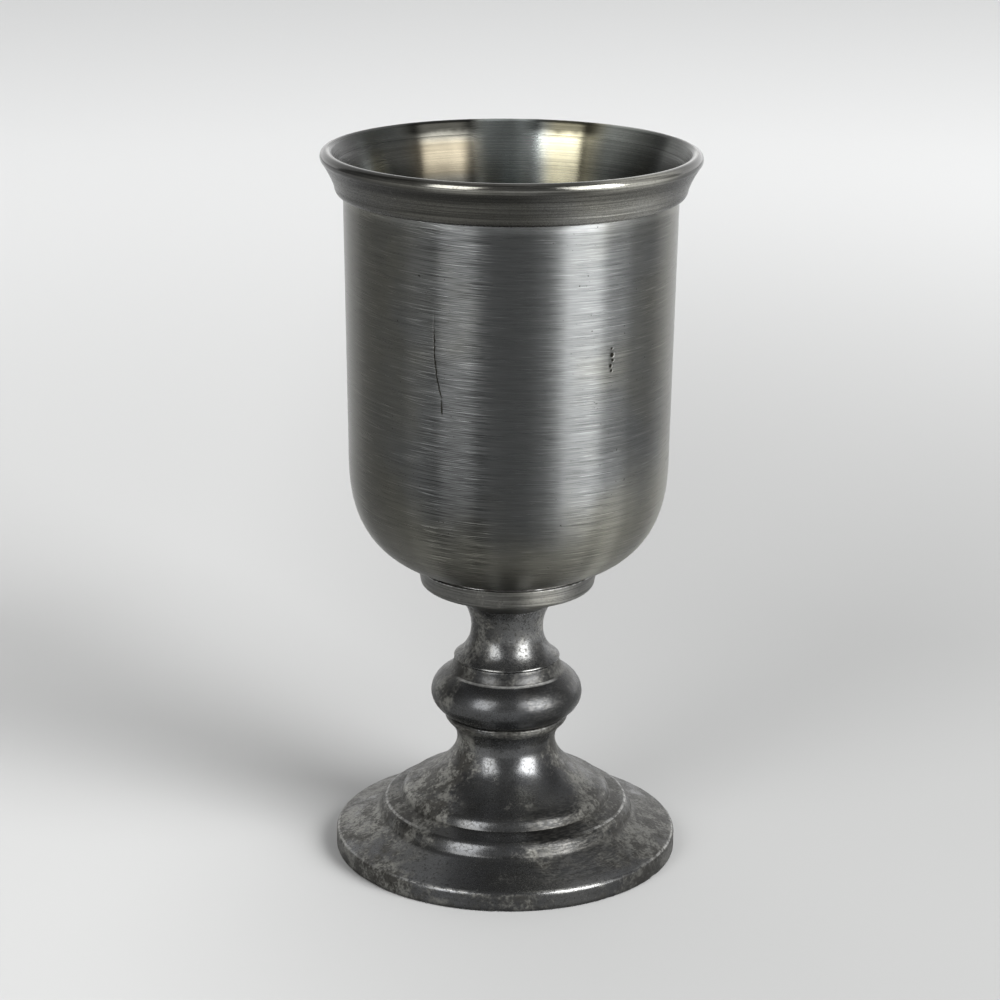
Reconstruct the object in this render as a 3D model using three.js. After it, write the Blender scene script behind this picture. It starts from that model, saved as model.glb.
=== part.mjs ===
// A turned pewter goblet. A bowl with an applied lip band sits in a dished seat. The seat, a ring-shaped
// knop and a hollow stepped foot are threaded on the tenons of one stem, and soft solder holds each joint.
// Millimetres, +Z up, with the origin on the table under the goblet's axis.
import * as THREE from "three";

// A point of a profile: radius from the axis, height above the table.
const at = (radius, height) => new THREE.Vector2(radius, height);

// Driving dimensions

// All pieces
const SIDES = 40; // facets round each turned piece, alike on all of them so that mating faces meet
const SOLDER = 0.3; // width of a soldered joint

// Bowl: the bottom is a superellipse, and the wall above it opens a little towards the lip
const BOWL_WALL = 1.4;
const BOWL_BOTTOM = 65.8;
const BOWL_SPRING = 95.9; // where the rounded bottom becomes the wall
const BOWL_RADIUS = 35.57; // at the spring
const BOWL_SQUARENESS = 2.84; // the superellipse's exponent, 2 for a plain ellipse
const BOWL_FLARE = at(36.4, 151.9); // where the wall starts to flare inside the lip band
const BOWL_FLARE_PULL = at(36.8, 155.2);
const BOWL_RIM = at(38.9, 158.4);
const BOWL_RIM_THICKNESS = 1.2;
const BOWL_THROAT = 148; // where the inside starts to flare
const BOWL_THROAT_PULL = at(35.3, 153.5);

// Lip band: a roll above a hollow flare, with a quarter round at its foot
const LIP_RADIUS = 41.35;
const LIP_HEIGHT = 161.5;
const LIP_ROLL = 1.45; // radius of the roll's section
const LIP_ROLL_FROM = -45; // degrees round the roll's section, from straight out
const LIP_ROLL_TO = 135;
const BAND_RADIUS = 38.3; // at the top of the quarter round
const BAND_ROUND = at(1.55, 2); // reach and rise of the quarter round
const BAND_PULL = at(39.3, 156.6);

// Seat: a dish with a tapered side and a hollowed underside
const SEAT_REACH = 0.275; // share of the bowl's bottom curve that lies in the dish
const SEAT_BORE = 5.3;
const SEAT_BORE_REACH = 0.055; // share of the curve that the dish leaves out round the bore
const SEAT_RIM = at(20.2, 67.5);
const SEAT_SIDE = at(19.55, 64);
const SEAT_ROUND_PULL = at(19.35, 63.4);
const SEAT_UNDER = at(18.5, 63);
const SEAT_UNDER_PULL = at(13.2, 60.9);

// Stem: a hollowed neck over a bell, with a tenon at each end
const NECK_TOP = at(9.9, 58.8);
const NECK_PULLS = [at(6.43, 49.67), at(7.99, 56.02)]; // draw the neck in to a waist of radius 8.2
const BELL_EDGE = at(12, 46);
const BELL_BASE = 45.7;
const BELL_LIP = 0.25;
const UPPER_TENON = at(SEAT_BORE - SOLDER, 65.2);
const LOWER_TENON = at(4.6, 22.5);

// Knop: an elliptical cushion with a fillet band on top
const KNOP_CENTRE = at(8.94, 37.44);
const KNOP_HALF = at(8.2, 6); // half width and half height of the ellipse
const KNOP_BASE = 32.4;
const KNOP_CREASE = 42.65; // where the cushion meets the band
const BAND_HOLLOW = at(12.1, 43.6);
const BAND_TOP = at(11.9, 45.4);
const BAND_CHAMFER = 0.3;

// Foot: from the edge on the table up the step and the trumpet to the fillet ring under the knop
const FOOT_RADIUS = 38.9;
const FOOT_EASE = 0.3; // eased arris on the table
const FOOT_EDGE = 2.8; // height of the upright edge
const FOOT_EDGE_PULL = at(FOOT_RADIUS, 4.1);
const RIM_SLOPE_FOOT = at(37.3, 4.65);
const RIM_SLOPE_TOP = at(30.6, 7.5);
const RIM_SLOPE_PULL = at(29.2, 8.05);
const STEP_FOOT = at(28.9, 8.8);
const STEP_PULL = at(28.5, 10.75);
const STEP_EDGE = at(27.3, 11.4);
const PLATE_PULL = at(25.4, 12);
const SHOULDER_FOOT = at(23.9, 12.4);
const SHOULDER_PULLS = [at(23.55, 14), at(22.9, 14.9)];
const TRUMPET_FOOT = at(20.6, 15.6);
const TRUMPET_PULLS = [at(7.16, 23.11), at(11.67, 28.9)]; // draw it in to a waist of radius 11.2
const TRUMPET_TOP = at(12.8, 30);
const FILLET_FOOT = at(13.5, 30.75);
const FILLET_PULL = at(13.95, 31.2);
const FILLET_EDGE = at(14, 32);
const FILLET_CHAMFER = 0.3;
const HOLLOW_MOUTH = 36.3; // radius of the open underside on the table
const HOLLOW_EDGE = at(35.8, 3.2);
const HOLLOW_RIM_PULL = at(29.3, 6.2);
const HOLLOW_STEP = at(28.3, 8.15);
const HOLLOW_PLATE_PULL = at(26.9, 10.7);
const HOLLOW_SHOULDER = at(21, 12);
const HOLLOW_PULLS = [at(16, 14), at(10.5, 16.5)];
const HOLLOW_ROOF = at(9.2, LOWER_TENON.y);

// Finishes
const brushedPewter = new THREE.MeshStandardMaterial({ color: 0x8a8c8d, metalness: 1, roughness: 0.42 });
const darkPewter = new THREE.MeshStandardMaterial({ color: 0x686763, metalness: 1, roughness: 0.3 });
const solder = new THREE.MeshStandardMaterial({ color: 0xa9aaab, metalness: 1, roughness: 0.36 });

// Curves of a profile, as points from one end to the other
const bend = (from, pull, to, steps) => new THREE.QuadraticBezierCurve(from, pull, to).getPoints(steps);

const sweep = (from, pulls, to, steps) =>
  new THREE.CubicBezierCurve(from, pulls[0], pulls[1], to).getPoints(steps);

function ellipseArc(centre, half, fromDegrees, toDegrees, steps) {
  const from = THREE.MathUtils.degToRad(fromDegrees);
  const to = THREE.MathUtils.degToRad(toDegrees);
  return new THREE.EllipseCurve(centre.x, centre.y, half.x, half.y, from, to).getPoints(steps);
}

const shifted = (points, radius) => points.map((point) => at(point.x + radius, point.y));

// The bowl's rounded bottom, grown outwards, between two shares of its curve: 0 at the pole, 1 at the spring.
// The radius follows sin^(2/n) of the turn and the depth follows cos^(2/n), where n is the squareness.
function bowlBottom(grow, fromShare, toShare, steps) {
  const power = 2 / BOWL_SQUARENESS;
  const depth = BOWL_SPRING - BOWL_BOTTOM;
  return Array.from({ length: steps + 1 }, (_, i) => {
    const turn = ((fromShare + ((toShare - fromShare) * i) / steps) * Math.PI) / 2;
    const radius = (BOWL_RADIUS + grow) * Math.sin(turn) ** power;
    return at(radius, BOWL_SPRING - (depth + grow) * Math.cos(turn) ** power);
  });
}

// Turns a profile round the axis. It runs up the outside and down the inside, from axis to axis or as
// a ring.
function turned(name, finish, stretches) {
  const apart = (point, i, all) => i === 0 || point.distanceTo(all[i - 1]) > 1e-6;
  const profile = stretches.flat().filter(apart);
  if (profile[0].x > 0) profile.push(profile[0]);
  const mesh = new THREE.Mesh(new THREE.LatheGeometry(profile, SIDES).rotateX(Math.PI / 2), finish);
  mesh.name = name;
  return mesh;
}

// A sleeve of solder round a tenon
function sleeve(name, inner, bottom, top) {
  const outer = inner + SOLDER;
  return turned(name, solder, [at(inner, bottom), at(outer, bottom), at(outer, top), at(inner, top)]);
}

// Stretches that two pieces share, so that their faces meet
const SEAT_STEPS = 5;
const bowlOnSeat = bowlBottom(0, 0, SEAT_REACH, SEAT_STEPS);
const dish = bowlBottom(SOLDER, SEAT_BORE_REACH, SEAT_REACH, SEAT_STEPS - 1);
const bowlFlare = bend(BOWL_FLARE, BOWL_FLARE_PULL, BOWL_RIM, 4);
const bandInside = shifted(bowlFlare, SOLDER);
const innerRim = at(BOWL_RIM.x - BOWL_RIM_THICKNESS, BOWL_RIM.y);
const ledge = [at(BOWL_RIM.x + SOLDER, BOWL_RIM.y + SOLDER), at(innerRim.x, BOWL_RIM.y + SOLDER)];

function makeBowl() {
  const slope = (BOWL_FLARE.x - BOWL_RADIUS) / (BOWL_FLARE.y - BOWL_SPRING);
  const throatRadius = BOWL_RADIUS + slope * (BOWL_THROAT - BOWL_SPRING) - BOWL_WALL;
  return turned("bowl", brushedPewter, [
    bowlOnSeat,
    bowlBottom(0, SEAT_REACH, 1, 10),
    bowlFlare,
    bend(innerRim, BOWL_THROAT_PULL, at(throatRadius, BOWL_THROAT), 4),
    bowlBottom(-BOWL_WALL, 1, 0, 9),
  ]);
}

function makeLipBand() {
  const roundCentre = at(BAND_RADIUS - BAND_ROUND.x, BOWL_FLARE.y + BAND_ROUND.y);
  const rollCentre = at(LIP_RADIUS - LIP_ROLL, LIP_HEIGHT - LIP_ROLL);
  const roll = ellipseArc(rollCentre, at(LIP_ROLL, LIP_ROLL), LIP_ROLL_FROM, LIP_ROLL_TO, 8);
  return turned("lip_band", darkPewter, [
    bandInside[0],
    ellipseArc(roundCentre, BAND_ROUND, -90, 0, 4),
    bend(at(BAND_RADIUS, roundCentre.y), BAND_PULL, roll[0], 4),
    roll,
    ledge.toReversed(),
    bandInside.toReversed(),
  ]);
}

function makeBowlSeat() {
  return turned("bowl_seat", darkPewter, [
    at(SEAT_BORE, NECK_TOP.y),
    bend(NECK_TOP, SEAT_UNDER_PULL, SEAT_UNDER, 4),
    bend(SEAT_UNDER, SEAT_ROUND_PULL, SEAT_SIDE, 3),
    SEAT_RIM,
    dish.toReversed(),
    at(SEAT_BORE, BOWL_BOTTOM - SOLDER),
  ]);
}

function makeStem() {
  const bellLip = at(BELL_EDGE.x - BELL_LIP, BELL_BASE);
  return turned("stem", darkPewter, [
    at(0, LOWER_TENON.y),
    LOWER_TENON,
    at(LOWER_TENON.x, BELL_BASE),
    bend(bellLip, at(BELL_EDGE.x, BELL_BASE), BELL_EDGE, 2),
    sweep(BELL_EDGE, NECK_PULLS, NECK_TOP, 10),
    at(UPPER_TENON.x, NECK_TOP.y),
    UPPER_TENON,
    at(0, UPPER_TENON.y),
  ]);
}

function makeKnop() {
  const bore = LOWER_TENON.x + SOLDER;
  const degreesAt = (height) => THREE.MathUtils.radToDeg(Math.asin((height - KNOP_CENTRE.y) / KNOP_HALF.y));
  const cushion = ellipseArc(KNOP_CENTRE, KNOP_HALF, degreesAt(KNOP_BASE), degreesAt(KNOP_CREASE), 10);
  return turned("knop", darkPewter, [
    at(bore, KNOP_BASE),
    cushion,
    bend(cushion.at(-1), BAND_HOLLOW, BAND_TOP, 3),
    at(BAND_TOP.x - BAND_CHAMFER, BELL_BASE),
    at(bore, BELL_BASE),
  ]);
}

function makeFoot() {
  const socket = LOWER_TENON.x + SOLDER;
  return turned("foot", darkPewter, [
    at(HOLLOW_MOUTH, 0),
    at(FOOT_RADIUS - FOOT_EASE, 0),
    at(FOOT_RADIUS, FOOT_EASE),
    bend(at(FOOT_RADIUS, FOOT_EDGE), FOOT_EDGE_PULL, RIM_SLOPE_FOOT, 3),
    bend(RIM_SLOPE_TOP, RIM_SLOPE_PULL, STEP_FOOT, 3),
    bend(STEP_FOOT, STEP_PULL, STEP_EDGE, 3),
    bend(STEP_EDGE, PLATE_PULL, SHOULDER_FOOT, 2),
    sweep(SHOULDER_FOOT, SHOULDER_PULLS, TRUMPET_FOOT, 4),
    sweep(TRUMPET_FOOT, TRUMPET_PULLS, TRUMPET_TOP, 10),
    bend(FILLET_FOOT, FILLET_PULL, FILLET_EDGE, 2),
    at(FILLET_EDGE.x - FILLET_CHAMFER, KNOP_BASE),
    at(socket, KNOP_BASE),
    at(socket, HOLLOW_ROOF.y),
    sweep(HOLLOW_ROOF, HOLLOW_PULLS.toReversed(), HOLLOW_SHOULDER, 5),
    bend(HOLLOW_SHOULDER, HOLLOW_PLATE_PULL, HOLLOW_STEP, 3),
    bend(HOLLOW_STEP, HOLLOW_RIM_PULL, HOLLOW_EDGE, 2),
  ]);
}

// The thin edge of this ring is the bright line round the seat's rim.
function makeBowlSolder() {
  const steps = 2;
  return turned("bowl_solder", solder, [dish.slice(-steps - 1), bowlOnSeat.slice(-steps - 1).toReversed()]);
}

// This sleeve runs up between the bowl and the lip band, and in over the bowl's rim.
function makeLipSolder() {
  return turned("lip_solder", solder, [bandInside, ledge, innerRim, bowlFlare.toReversed()]);
}

const cup = new THREE.Group();
cup.add(makeBowl(), makeLipBand(), makeLipSolder());

const stand = new THREE.Group();
stand.add(makeBowlSeat(), makeStem(), makeKnop(), makeFoot());
stand.add(
  makeBowlSolder(),
  sleeve("seat_solder", UPPER_TENON.x, NECK_TOP.y, UPPER_TENON.y),
  sleeve("knop_solder", LOWER_TENON.x, KNOP_BASE, BELL_BASE),
  sleeve("foot_solder", LOWER_TENON.x, LOWER_TENON.y, KNOP_BASE),
);

const goblet = new THREE.Group();
goblet.add(cup, stand);

export default goblet;
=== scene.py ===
"""Looks of a turned pewter goblet: six castings and the soft-solder seams between them, on a pale stage."""
import math
from typing import NamedTuple

import bpy
import numpy as np
from bpy.props import FloatProperty, FloatVectorProperty, PointerProperty
from mathutils import Matrix, Vector


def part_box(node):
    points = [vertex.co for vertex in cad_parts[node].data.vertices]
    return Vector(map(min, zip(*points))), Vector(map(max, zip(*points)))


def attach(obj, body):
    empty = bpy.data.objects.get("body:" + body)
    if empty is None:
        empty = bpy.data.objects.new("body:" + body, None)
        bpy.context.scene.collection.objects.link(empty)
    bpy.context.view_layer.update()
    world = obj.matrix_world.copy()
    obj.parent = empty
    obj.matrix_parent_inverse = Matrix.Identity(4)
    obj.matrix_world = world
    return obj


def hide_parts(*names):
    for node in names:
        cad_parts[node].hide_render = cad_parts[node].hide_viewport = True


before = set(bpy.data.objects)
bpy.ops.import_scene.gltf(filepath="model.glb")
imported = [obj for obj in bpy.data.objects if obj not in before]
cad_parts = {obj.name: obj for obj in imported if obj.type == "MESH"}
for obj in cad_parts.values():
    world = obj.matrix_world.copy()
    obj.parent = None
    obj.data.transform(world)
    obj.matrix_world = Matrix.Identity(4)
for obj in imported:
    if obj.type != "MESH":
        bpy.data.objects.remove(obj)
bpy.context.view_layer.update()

bl_info = {
    "name": "Pewter Goblet",
    "version": (1, 0, 0),
    "blender": (4, 5, 0),
    "location": "View3D > Sidebar > Goblet",
    "description": "Turns the castings and solder seams of a pewter goblet and sets them on a pale stage",
    "category": "Add Mesh",
}

BODY = "root"
MM = 0.001


def lowest(node):
    """Lowest corner of a node of the frame, in metres."""
    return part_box(node)[0]


def highest(node):
    """Highest corner of a node of the frame, in metres."""
    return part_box(node)[1]


# Settings that a user may change

def length(name, description, default):
    """A length in metres."""
    return FloatProperty(name=name, description=description, default=default, unit="LENGTH", precision=5)


def point(name, description, radius, height):
    """A point of an outline, given in mm."""
    return FloatVectorProperty(name=name, description=description + ", as radius and height", size=2,
                               default=(radius * MM, height * MM), unit="LENGTH", precision=5)


def colour(name, description, red, green, blue):
    """A linear colour."""
    return FloatVectorProperty(name=name, description=description, size=3, default=(red, green, blue),
                               subtype="COLOR", min=0.0, max=1.0)


def angle(name, description, degrees):
    """An angle, given in degrees."""
    return FloatProperty(name=name, description=description, default=math.radians(degrees), unit="ROTATION")


def number(name, description, default):
    """A plain number."""
    return FloatProperty(name=name, description=description, default=default)


class BowlShape(bpy.types.PropertyGroup):
    """Bowl: the bottom is a superellipse, and the wall above it opens a little towards the lip."""
    wall: length("Wall", "Thickness of the wall", 1.4 * MM)
    bottom: length("Bottom", "Height of the lowest point", lowest("bowl").z)
    spring: length("Spring", "Height where the rounded bottom becomes the wall", 95.9 * MM)
    radius: length("Radius", "Outer radius at the spring", 35.57 * MM)
    squareness: number("Squareness", "Exponent of the superellipse, 2 for a plain ellipse", 2.84)
    flare: point("Flare", "Where the wall starts to flare inside the lip band", 36.4, 151.9)
    flare_pull: point("Flare pull", "Point that draws the flare's curve", 36.8, 155.2)
    rim_radius: length("Rim radius", "Outer radius of the rim", highest("bowl").x)
    rim_height: length("Rim height", "Height of the rim", highest("bowl").z)
    rim_thickness: length("Rim thickness", "Width of the rim's flat top", 1.2 * MM)
    throat: length("Throat", "Height where the inside starts to flare", 148 * MM)
    throat_pull: point("Throat pull", "Point that draws the curve of the inner flare", 35.3, 153.5)


class LipBandShape(bpy.types.PropertyGroup):
    """Lip band: a roll above a hollow flare, with a quarter round at its foot."""
    radius: length("Radius", "Outer radius of the roll", highest("lip_band").x)
    height: length("Height", "Top of the roll", highest("lip_band").z)
    roll: length("Roll", "Radius of the roll's section", 1.45 * MM)
    roll_from: angle("Roll from", "Where the roll starts, from straight out", -45)
    roll_to: angle("Roll to", "Where the roll ends, from straight out", 135)
    waist: length("Waist", "Radius at the top of the quarter round", 38.3 * MM)
    quarter: point("Quarter round", "Reach and rise of the quarter round", 1.55, 2)
    flare_pull: point("Flare pull", "Point that draws the hollow flare", 39.3, 156.6)


class BowlSeatShape(bpy.types.PropertyGroup):
    """Bowl seat: a dish with a tapered side and a hollowed underside."""
    reach: number("Reach", "Share of the bowl's bottom curve that lies in the dish", 0.275)
    bore: length("Bore", "Radius of the bore for the stem's tenon", 5.3 * MM)
    bore_reach: number("Bore reach", "Share of the curve that the dish leaves out round the bore", 0.055)
    rim: point("Rim", "Upper edge of the side", 20.2, 67.5)
    side: point("Side", "Lower edge of the side", 19.55, 64)
    round_pull: point("Round pull", "Point that draws the rounded lower edge", 19.35, 63.4)
    under: point("Underside", "Where the underside starts", 18.5, 63)
    under_pull: point("Underside pull", "Point that draws the hollow of the underside", 13.2, 60.9)


class StemShape(bpy.types.PropertyGroup):
    """Stem: a hollowed neck over a bell, with a tenon at each end."""
    neck_top: point("Neck top", "Where the neck meets the seat", 9.9, 58.8)
    lower_pull: point("Lower pull", "Point that draws the neck out of the bell", 6.43, 49.67)
    upper_pull: point("Upper pull", "Point that draws the neck in to the seat", 7.99, 56.02)
    bell_edge: point("Bell edge", "Widest edge of the bell", 12, 46)
    bell_base: length("Bell base", "Height of the bell's flat underside", 45.7 * MM)
    bell_lip: length("Bell lip", "Rounding of the bell's lower edge", 0.25 * MM)
    upper_tenon: point("Upper tenon", "Outer edge of the tenon's top", 5, 65.2)
    lower_tenon: point("Lower tenon", "Outer edge of the tenon's foot", 4.6, 22.5)


class KnopShape(bpy.types.PropertyGroup):
    """Knop: an elliptical cushion with a fillet band on top."""
    centre: point("Centre", "Centre of the cushion's elliptical section", 8.94, 37.44)
    half: point("Half size", "Half width and half height of the ellipse", 8.2, 6)
    base: length("Base", "Height of the flat underside", lowest("knop").z)
    crease: length("Crease", "Height where the cushion meets the band", 42.65 * MM)
    band_hollow: point("Band hollow", "Point that draws the band's hollow side", 12.1, 43.6)
    band_top: point("Band top", "Upper edge of the band", 11.9, 45.4)
    chamfer: length("Chamfer", "Chamfer of the band's upper edge", 0.3 * MM)


class FootShape(bpy.types.PropertyGroup):
    """Foot: from the edge on the table up the step and the trumpet to the fillet ring under the knop."""
    radius: length("Radius", "Outer radius", highest("foot").x)
    ease: length("Ease", "Eased arris on the table", 0.3 * MM)
    edge: length("Edge", "Height of the upright edge", 3.5 * MM)
    edge_pull: length("Edge pull", "Height of the point that rounds the upright edge", 4.25 * MM)
    slope_foot: point("Slope foot", "Lower end of the rim's slope", 38.1, 4.55)
    slope_top: point("Slope top", "Upper end of the rim's slope", 30.6, 7.5)
    slope_pull: point("Slope pull", "Point that draws the slope in to the step", 29.2, 8.05)
    step_foot: point("Step foot", "Foot of the step", 28.9, 8.8)
    step_pull: point("Step pull", "Point that rounds the step", 28.5, 10.75)
    step_edge: point("Step edge", "Edge of the step", 27.3, 11.4)
    plate_pull: point("Plate pull", "Point that draws the plate above the step", 25.4, 12.0)
    shoulder_foot: point("Shoulder foot", "Foot of the shoulder", 23.9, 12.4)
    shoulder_low: point("Shoulder low pull", "Point that raises the shoulder", 23.55, 14.0)
    shoulder_high: point("Shoulder high pull", "Point that turns the shoulder in", 22.9, 14.9)
    trumpet_foot: point("Trumpet foot", "Foot of the trumpet", 20.6, 15.6)
    trumpet_low: point("Trumpet low pull", "Point that draws the trumpet in", 7.16, 23.11)
    trumpet_high: point("Trumpet high pull", "Point that opens the trumpet's top", 11.67, 28.9)
    trumpet_top: point("Trumpet top", "Top of the trumpet", 12.8, 30)
    fillet_foot: point("Fillet foot", "Foot of the fillet ring", 13.5, 30.75)
    fillet_pull: point("Fillet pull", "Point that rounds the fillet ring", 13.95, 31.2)
    fillet_edge: point("Fillet edge", "Edge of the fillet ring", 14, 32)
    chamfer: length("Chamfer", "Chamfer of the fillet ring's upper edge", 0.3 * MM)
    mouth: length("Mouth", "Radius of the open underside on the table", 36.3 * MM)
    hollow_edge: point("Hollow edge", "Inside of the upright edge", 35.8, 3.2)
    hollow_rim_pull: point("Hollow rim pull", "Point that draws the hollow under the rim", 29.3, 6.2)
    hollow_step: point("Hollow step", "Inside of the step", 28.3, 8.15)
    hollow_plate_pull: point("Hollow plate pull", "Point that draws the hollow under the plate", 26.9, 10.7)
    hollow_shoulder: point("Hollow shoulder", "Inside of the shoulder", 21, 12)
    hollow_low: point("Hollow low pull", "Point that draws the hollow up", 16, 14)
    hollow_high: point("Hollow high pull", "Point that draws the hollow in", 10.5, 16.5)
    hollow_roof: length("Hollow roof", "Radius of the hollow's flat roof", 9.2 * MM)


class FinishColours(bpy.types.PropertyGroup):
    """Colours of the metal and of what lies on it."""
    brushed: colour("Brushed", "Cool grey of the brushed wall", 0.088, 0.0905, 0.0905)
    brushed_warm: colour("Brushed warm", "Olive grey of the brushed wall", 0.097, 0.0955, 0.0825)
    inside: colour("Inside", "Dull grey of the bowl's inside", 0.29, 0.312, 0.306)
    # Gold, rose and violet are tarnish that lies where the softboxes' reflections fall inside the bowl, so
    # they also paint the colour of those reflections
    gold: colour("Gold bloom", "Yellow tarnish on the inside", 0.385, 0.36, 0.255)
    rose: colour("Rose bloom", "Pink tarnish on the inside", 0.29, 0.255, 0.187)
    violet: colour("Violet bloom", "Violet tarnish deeper inside", 0.27, 0.255, 0.265)
    dark: colour("Dark", "Polished dark pewter", 0.082, 0.084, 0.088)
    brown: colour("Brown", "Warm dark pewter", 0.08, 0.0785, 0.07)
    oxide: colour("Oxide", "Dull brown-grey oxide", 0.07, 0.067, 0.06)
    pale: colour("Pale oxide", "Pale grey oxide", 0.255, 0.252, 0.231)
    # Bright is the colour of rubbed arrises, and also of painted highlights on ridges and along the lip's
    # inner edge
    bright: colour("Bright", "Metal rubbed bright on the arrises", 0.5, 0.5, 0.485)
    # Grime also darkens the hollows of the outline
    grime: colour("Grime", "Dirt in creases, cracks and pits", 0.018, 0.017, 0.014)
    solder: colour("Solder", "Soft solder", 0.3, 0.3, 0.29)


class StageSettings(bpy.types.PropertyGroup):
    """Floor, softboxes, surroundings and camera."""
    floor_radius: length("Floor radius", "Radius of the round floor", 4.0)
    floor_near: colour("Floor near", "Colour of the floor round the goblet", 0.41, 0.412, 0.41)
    floor_far: colour("Floor far", "Colour of the floor further out", 0.78, 0.785, 0.785)
    lamp_distance: length("Softbox distance", "From the goblet to each softbox", 3.0)
    left_glow: number("Left glow", "Radiance of the left softbox", 4.8)
    right_glow: number("Right glow", "Radiance of the right softbox", 12.8)
    top_glow: number("Top glow", "Radiance of the surroundings overhead", 0.35)
    lens: number("Lens", "Focal length in millimetres on a 36 mm sensor", 100.78)
    camera_back: length("Camera back", "From the goblet's axis to the camera", 0.59793)
    camera_up: length("Camera up", "Height of the camera", 0.26644)
    pitch: angle("Pitch", "How far the camera looks down", 17.102)
    yaw: angle("Yaw", "How far the camera looks to the right", -0.179)
    roll: angle("Roll", "How far the camera is turned about its line of sight", 0.516)


class GobletSettings(bpy.types.PropertyGroup):
    """All settings of the goblet."""
    bowl: PointerProperty(type=BowlShape)
    lip: PointerProperty(type=LipBandShape)
    seat: PointerProperty(type=BowlSeatShape)
    stem: PointerProperty(type=StemShape)
    knop: PointerProperty(type=KnopShape)
    foot: PointerProperty(type=FootShape)
    colours: PointerProperty(type=FinishColours)
    stage: PointerProperty(type=StageSettings)


# Outlines. An outline is an array of (radius, height) points that runs up the outside of a piece and down its
# inside, from the axis back to the axis or as a closed ring.

# Width of a seam, the gap that keeps two faces apart, and the share of the seat's dish that has no solder
SOLDER = 0.3 * MM
FLUSH = 0.01 * MM
DRY_SHARE = 0.6
# Angle past which an edge is sharp, distance between points of a fine outline, and how far arrises are worn
SHARP = math.radians(28)
STEP = 0.05 * MM
WORN = 0.16 * MM


def bend(start, pull, end, steps=30):
    """Quadratic curve: (1-t)^2 of the start, 2t(1-t) of the pull and t^2 of the end, for t from 0 to 1."""
    t = np.linspace(0, 1, steps + 1)[:, None]
    start, pull, end = np.array(start), np.array(pull), np.array(end)
    return (1 - t) ** 2 * start + 2 * t * (1 - t) * pull + t ** 2 * end


def sweep(start, first, second, end, steps=60):
    """Cubic curve: (1-t)^3, 3t(1-t)^2, 3t^2(1-t) and t^3 of the four points, for t from 0 to 1."""
    t = np.linspace(0, 1, steps + 1)[:, None]
    start, first, second, end = np.array(start), np.array(first), np.array(second), np.array(end)
    return (1 - t) ** 3 * start + 3 * t * (1 - t) ** 2 * first + 3 * t ** 2 * (1 - t) * second + t ** 3 * end


def arc(centre, half, first, last, steps=40):
    """Part of an ellipse: the centre plus half the width times cosine and half the height times sine."""
    turn = np.linspace(first, last, steps + 1)[:, None]
    return np.array(centre) + np.hstack([half[0] * np.cos(turn), half[1] * np.sin(turn)])


def at(radius, height):
    """One point of an outline."""
    return np.array([[radius, height]])


def bowl_bottom(bowl, grow, first, last, steps=120):
    """The bowl's bottom between two shares of its curve, 0 at the pole and 1 at the spring, grown outwards.
    The radius follows sin^(2/n) of the turn and the depth follows cos^(2/n), where n is the squareness."""
    power = 2 / bowl.squareness
    turn = np.linspace(first, last, steps + 1) * math.pi / 2
    radius = (bowl.radius + grow) * np.sin(turn) ** power
    depth = (bowl.spring - bowl.bottom + grow) * np.clip(np.cos(turn), 0, 1) ** power
    return np.column_stack([radius, bowl.spring - depth])


def bowl_flare(bowl):
    """The flare of the bowl's wall inside the lip band."""
    return bend(bowl.flare, bowl.flare_pull, (bowl.rim_radius, bowl.rim_height))


def bowl_outline(goblet):
    """The bowl's wall, up its outside and down its inside."""
    bowl = goblet.bowl
    slope = (bowl.flare[0] - bowl.radius) / (bowl.flare[1] - bowl.spring)
    throat = (bowl.radius + slope * (bowl.throat - bowl.spring) - bowl.wall, bowl.throat)
    inner_rim = (bowl.rim_radius - bowl.rim_thickness, bowl.rim_height)
    return np.vstack([
        bowl_bottom(bowl, 0, 0, 1),
        bowl_flare(bowl),
        bend(inner_rim, bowl.throat_pull, throat),
        bowl_bottom(bowl, -bowl.wall, 1, 0),
    ])


def lip_outline(goblet):
    """The lip band: quarter round, flare and roll, then the ledge and the side on the bowl's wall."""
    bowl, lip = goblet.bowl, goblet.lip
    roll_centre = (lip.radius - lip.roll, lip.height - lip.roll)
    roll = arc(roll_centre, (lip.roll, lip.roll), lip.roll_from, lip.roll_to)
    quarter = np.array((lip.waist - lip.quarter[0], bowl.flare[1] + lip.quarter[1]))
    ledge = bowl.rim_height + SOLDER
    inner = bowl.rim_radius - bowl.rim_thickness
    inside = bowl_flare(bowl) + (SOLDER, 0)
    return np.vstack([
        inside[:1],
        arc(quarter, lip.quarter, -math.pi / 2, 0),
        bend((lip.waist, quarter[1]), lip.flare_pull, roll[0]),
        roll,
        at(inner, bowl.rim_height + FLUSH),
        at(inner + SOLDER, bowl.rim_height + FLUSH),
        at(inner + SOLDER, ledge),
        at(bowl.rim_radius + SOLDER, ledge),
        inside[::-1],
    ])


def seat_outline(goblet):
    """The seat: its underside and side, then the dish and the bore."""
    bowl, seat, stem = goblet.bowl, goblet.seat, goblet.stem
    return np.vstack([
        at(seat.bore, stem.neck_top[1]),
        bend(stem.neck_top, seat.under_pull, seat.under),
        bend(seat.under, seat.round_pull, seat.side),
        at(*seat.rim),
        bowl_bottom(bowl, SOLDER, seat.reach, seat.bore_reach),
        at(seat.bore, bowl.bottom - SOLDER),
        at(seat.bore, stem.neck_top[1]),
    ])


def stem_outline(goblet):
    """The stem: lower tenon, bell, neck and upper tenon."""
    stem = goblet.stem
    base, lip = stem.bell_base, stem.bell_edge[0] - stem.bell_lip
    return np.vstack([
        at(0, stem.lower_tenon[1]),
        at(*stem.lower_tenon),
        at(stem.lower_tenon[0], base),
        bend((lip, base), (stem.bell_edge[0], base), stem.bell_edge),
        sweep(stem.bell_edge, stem.lower_pull, stem.upper_pull, stem.neck_top),
        at(stem.upper_tenon[0], stem.neck_top[1]),
        at(*stem.upper_tenon),
        at(0, stem.upper_tenon[1]),
    ])


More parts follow.
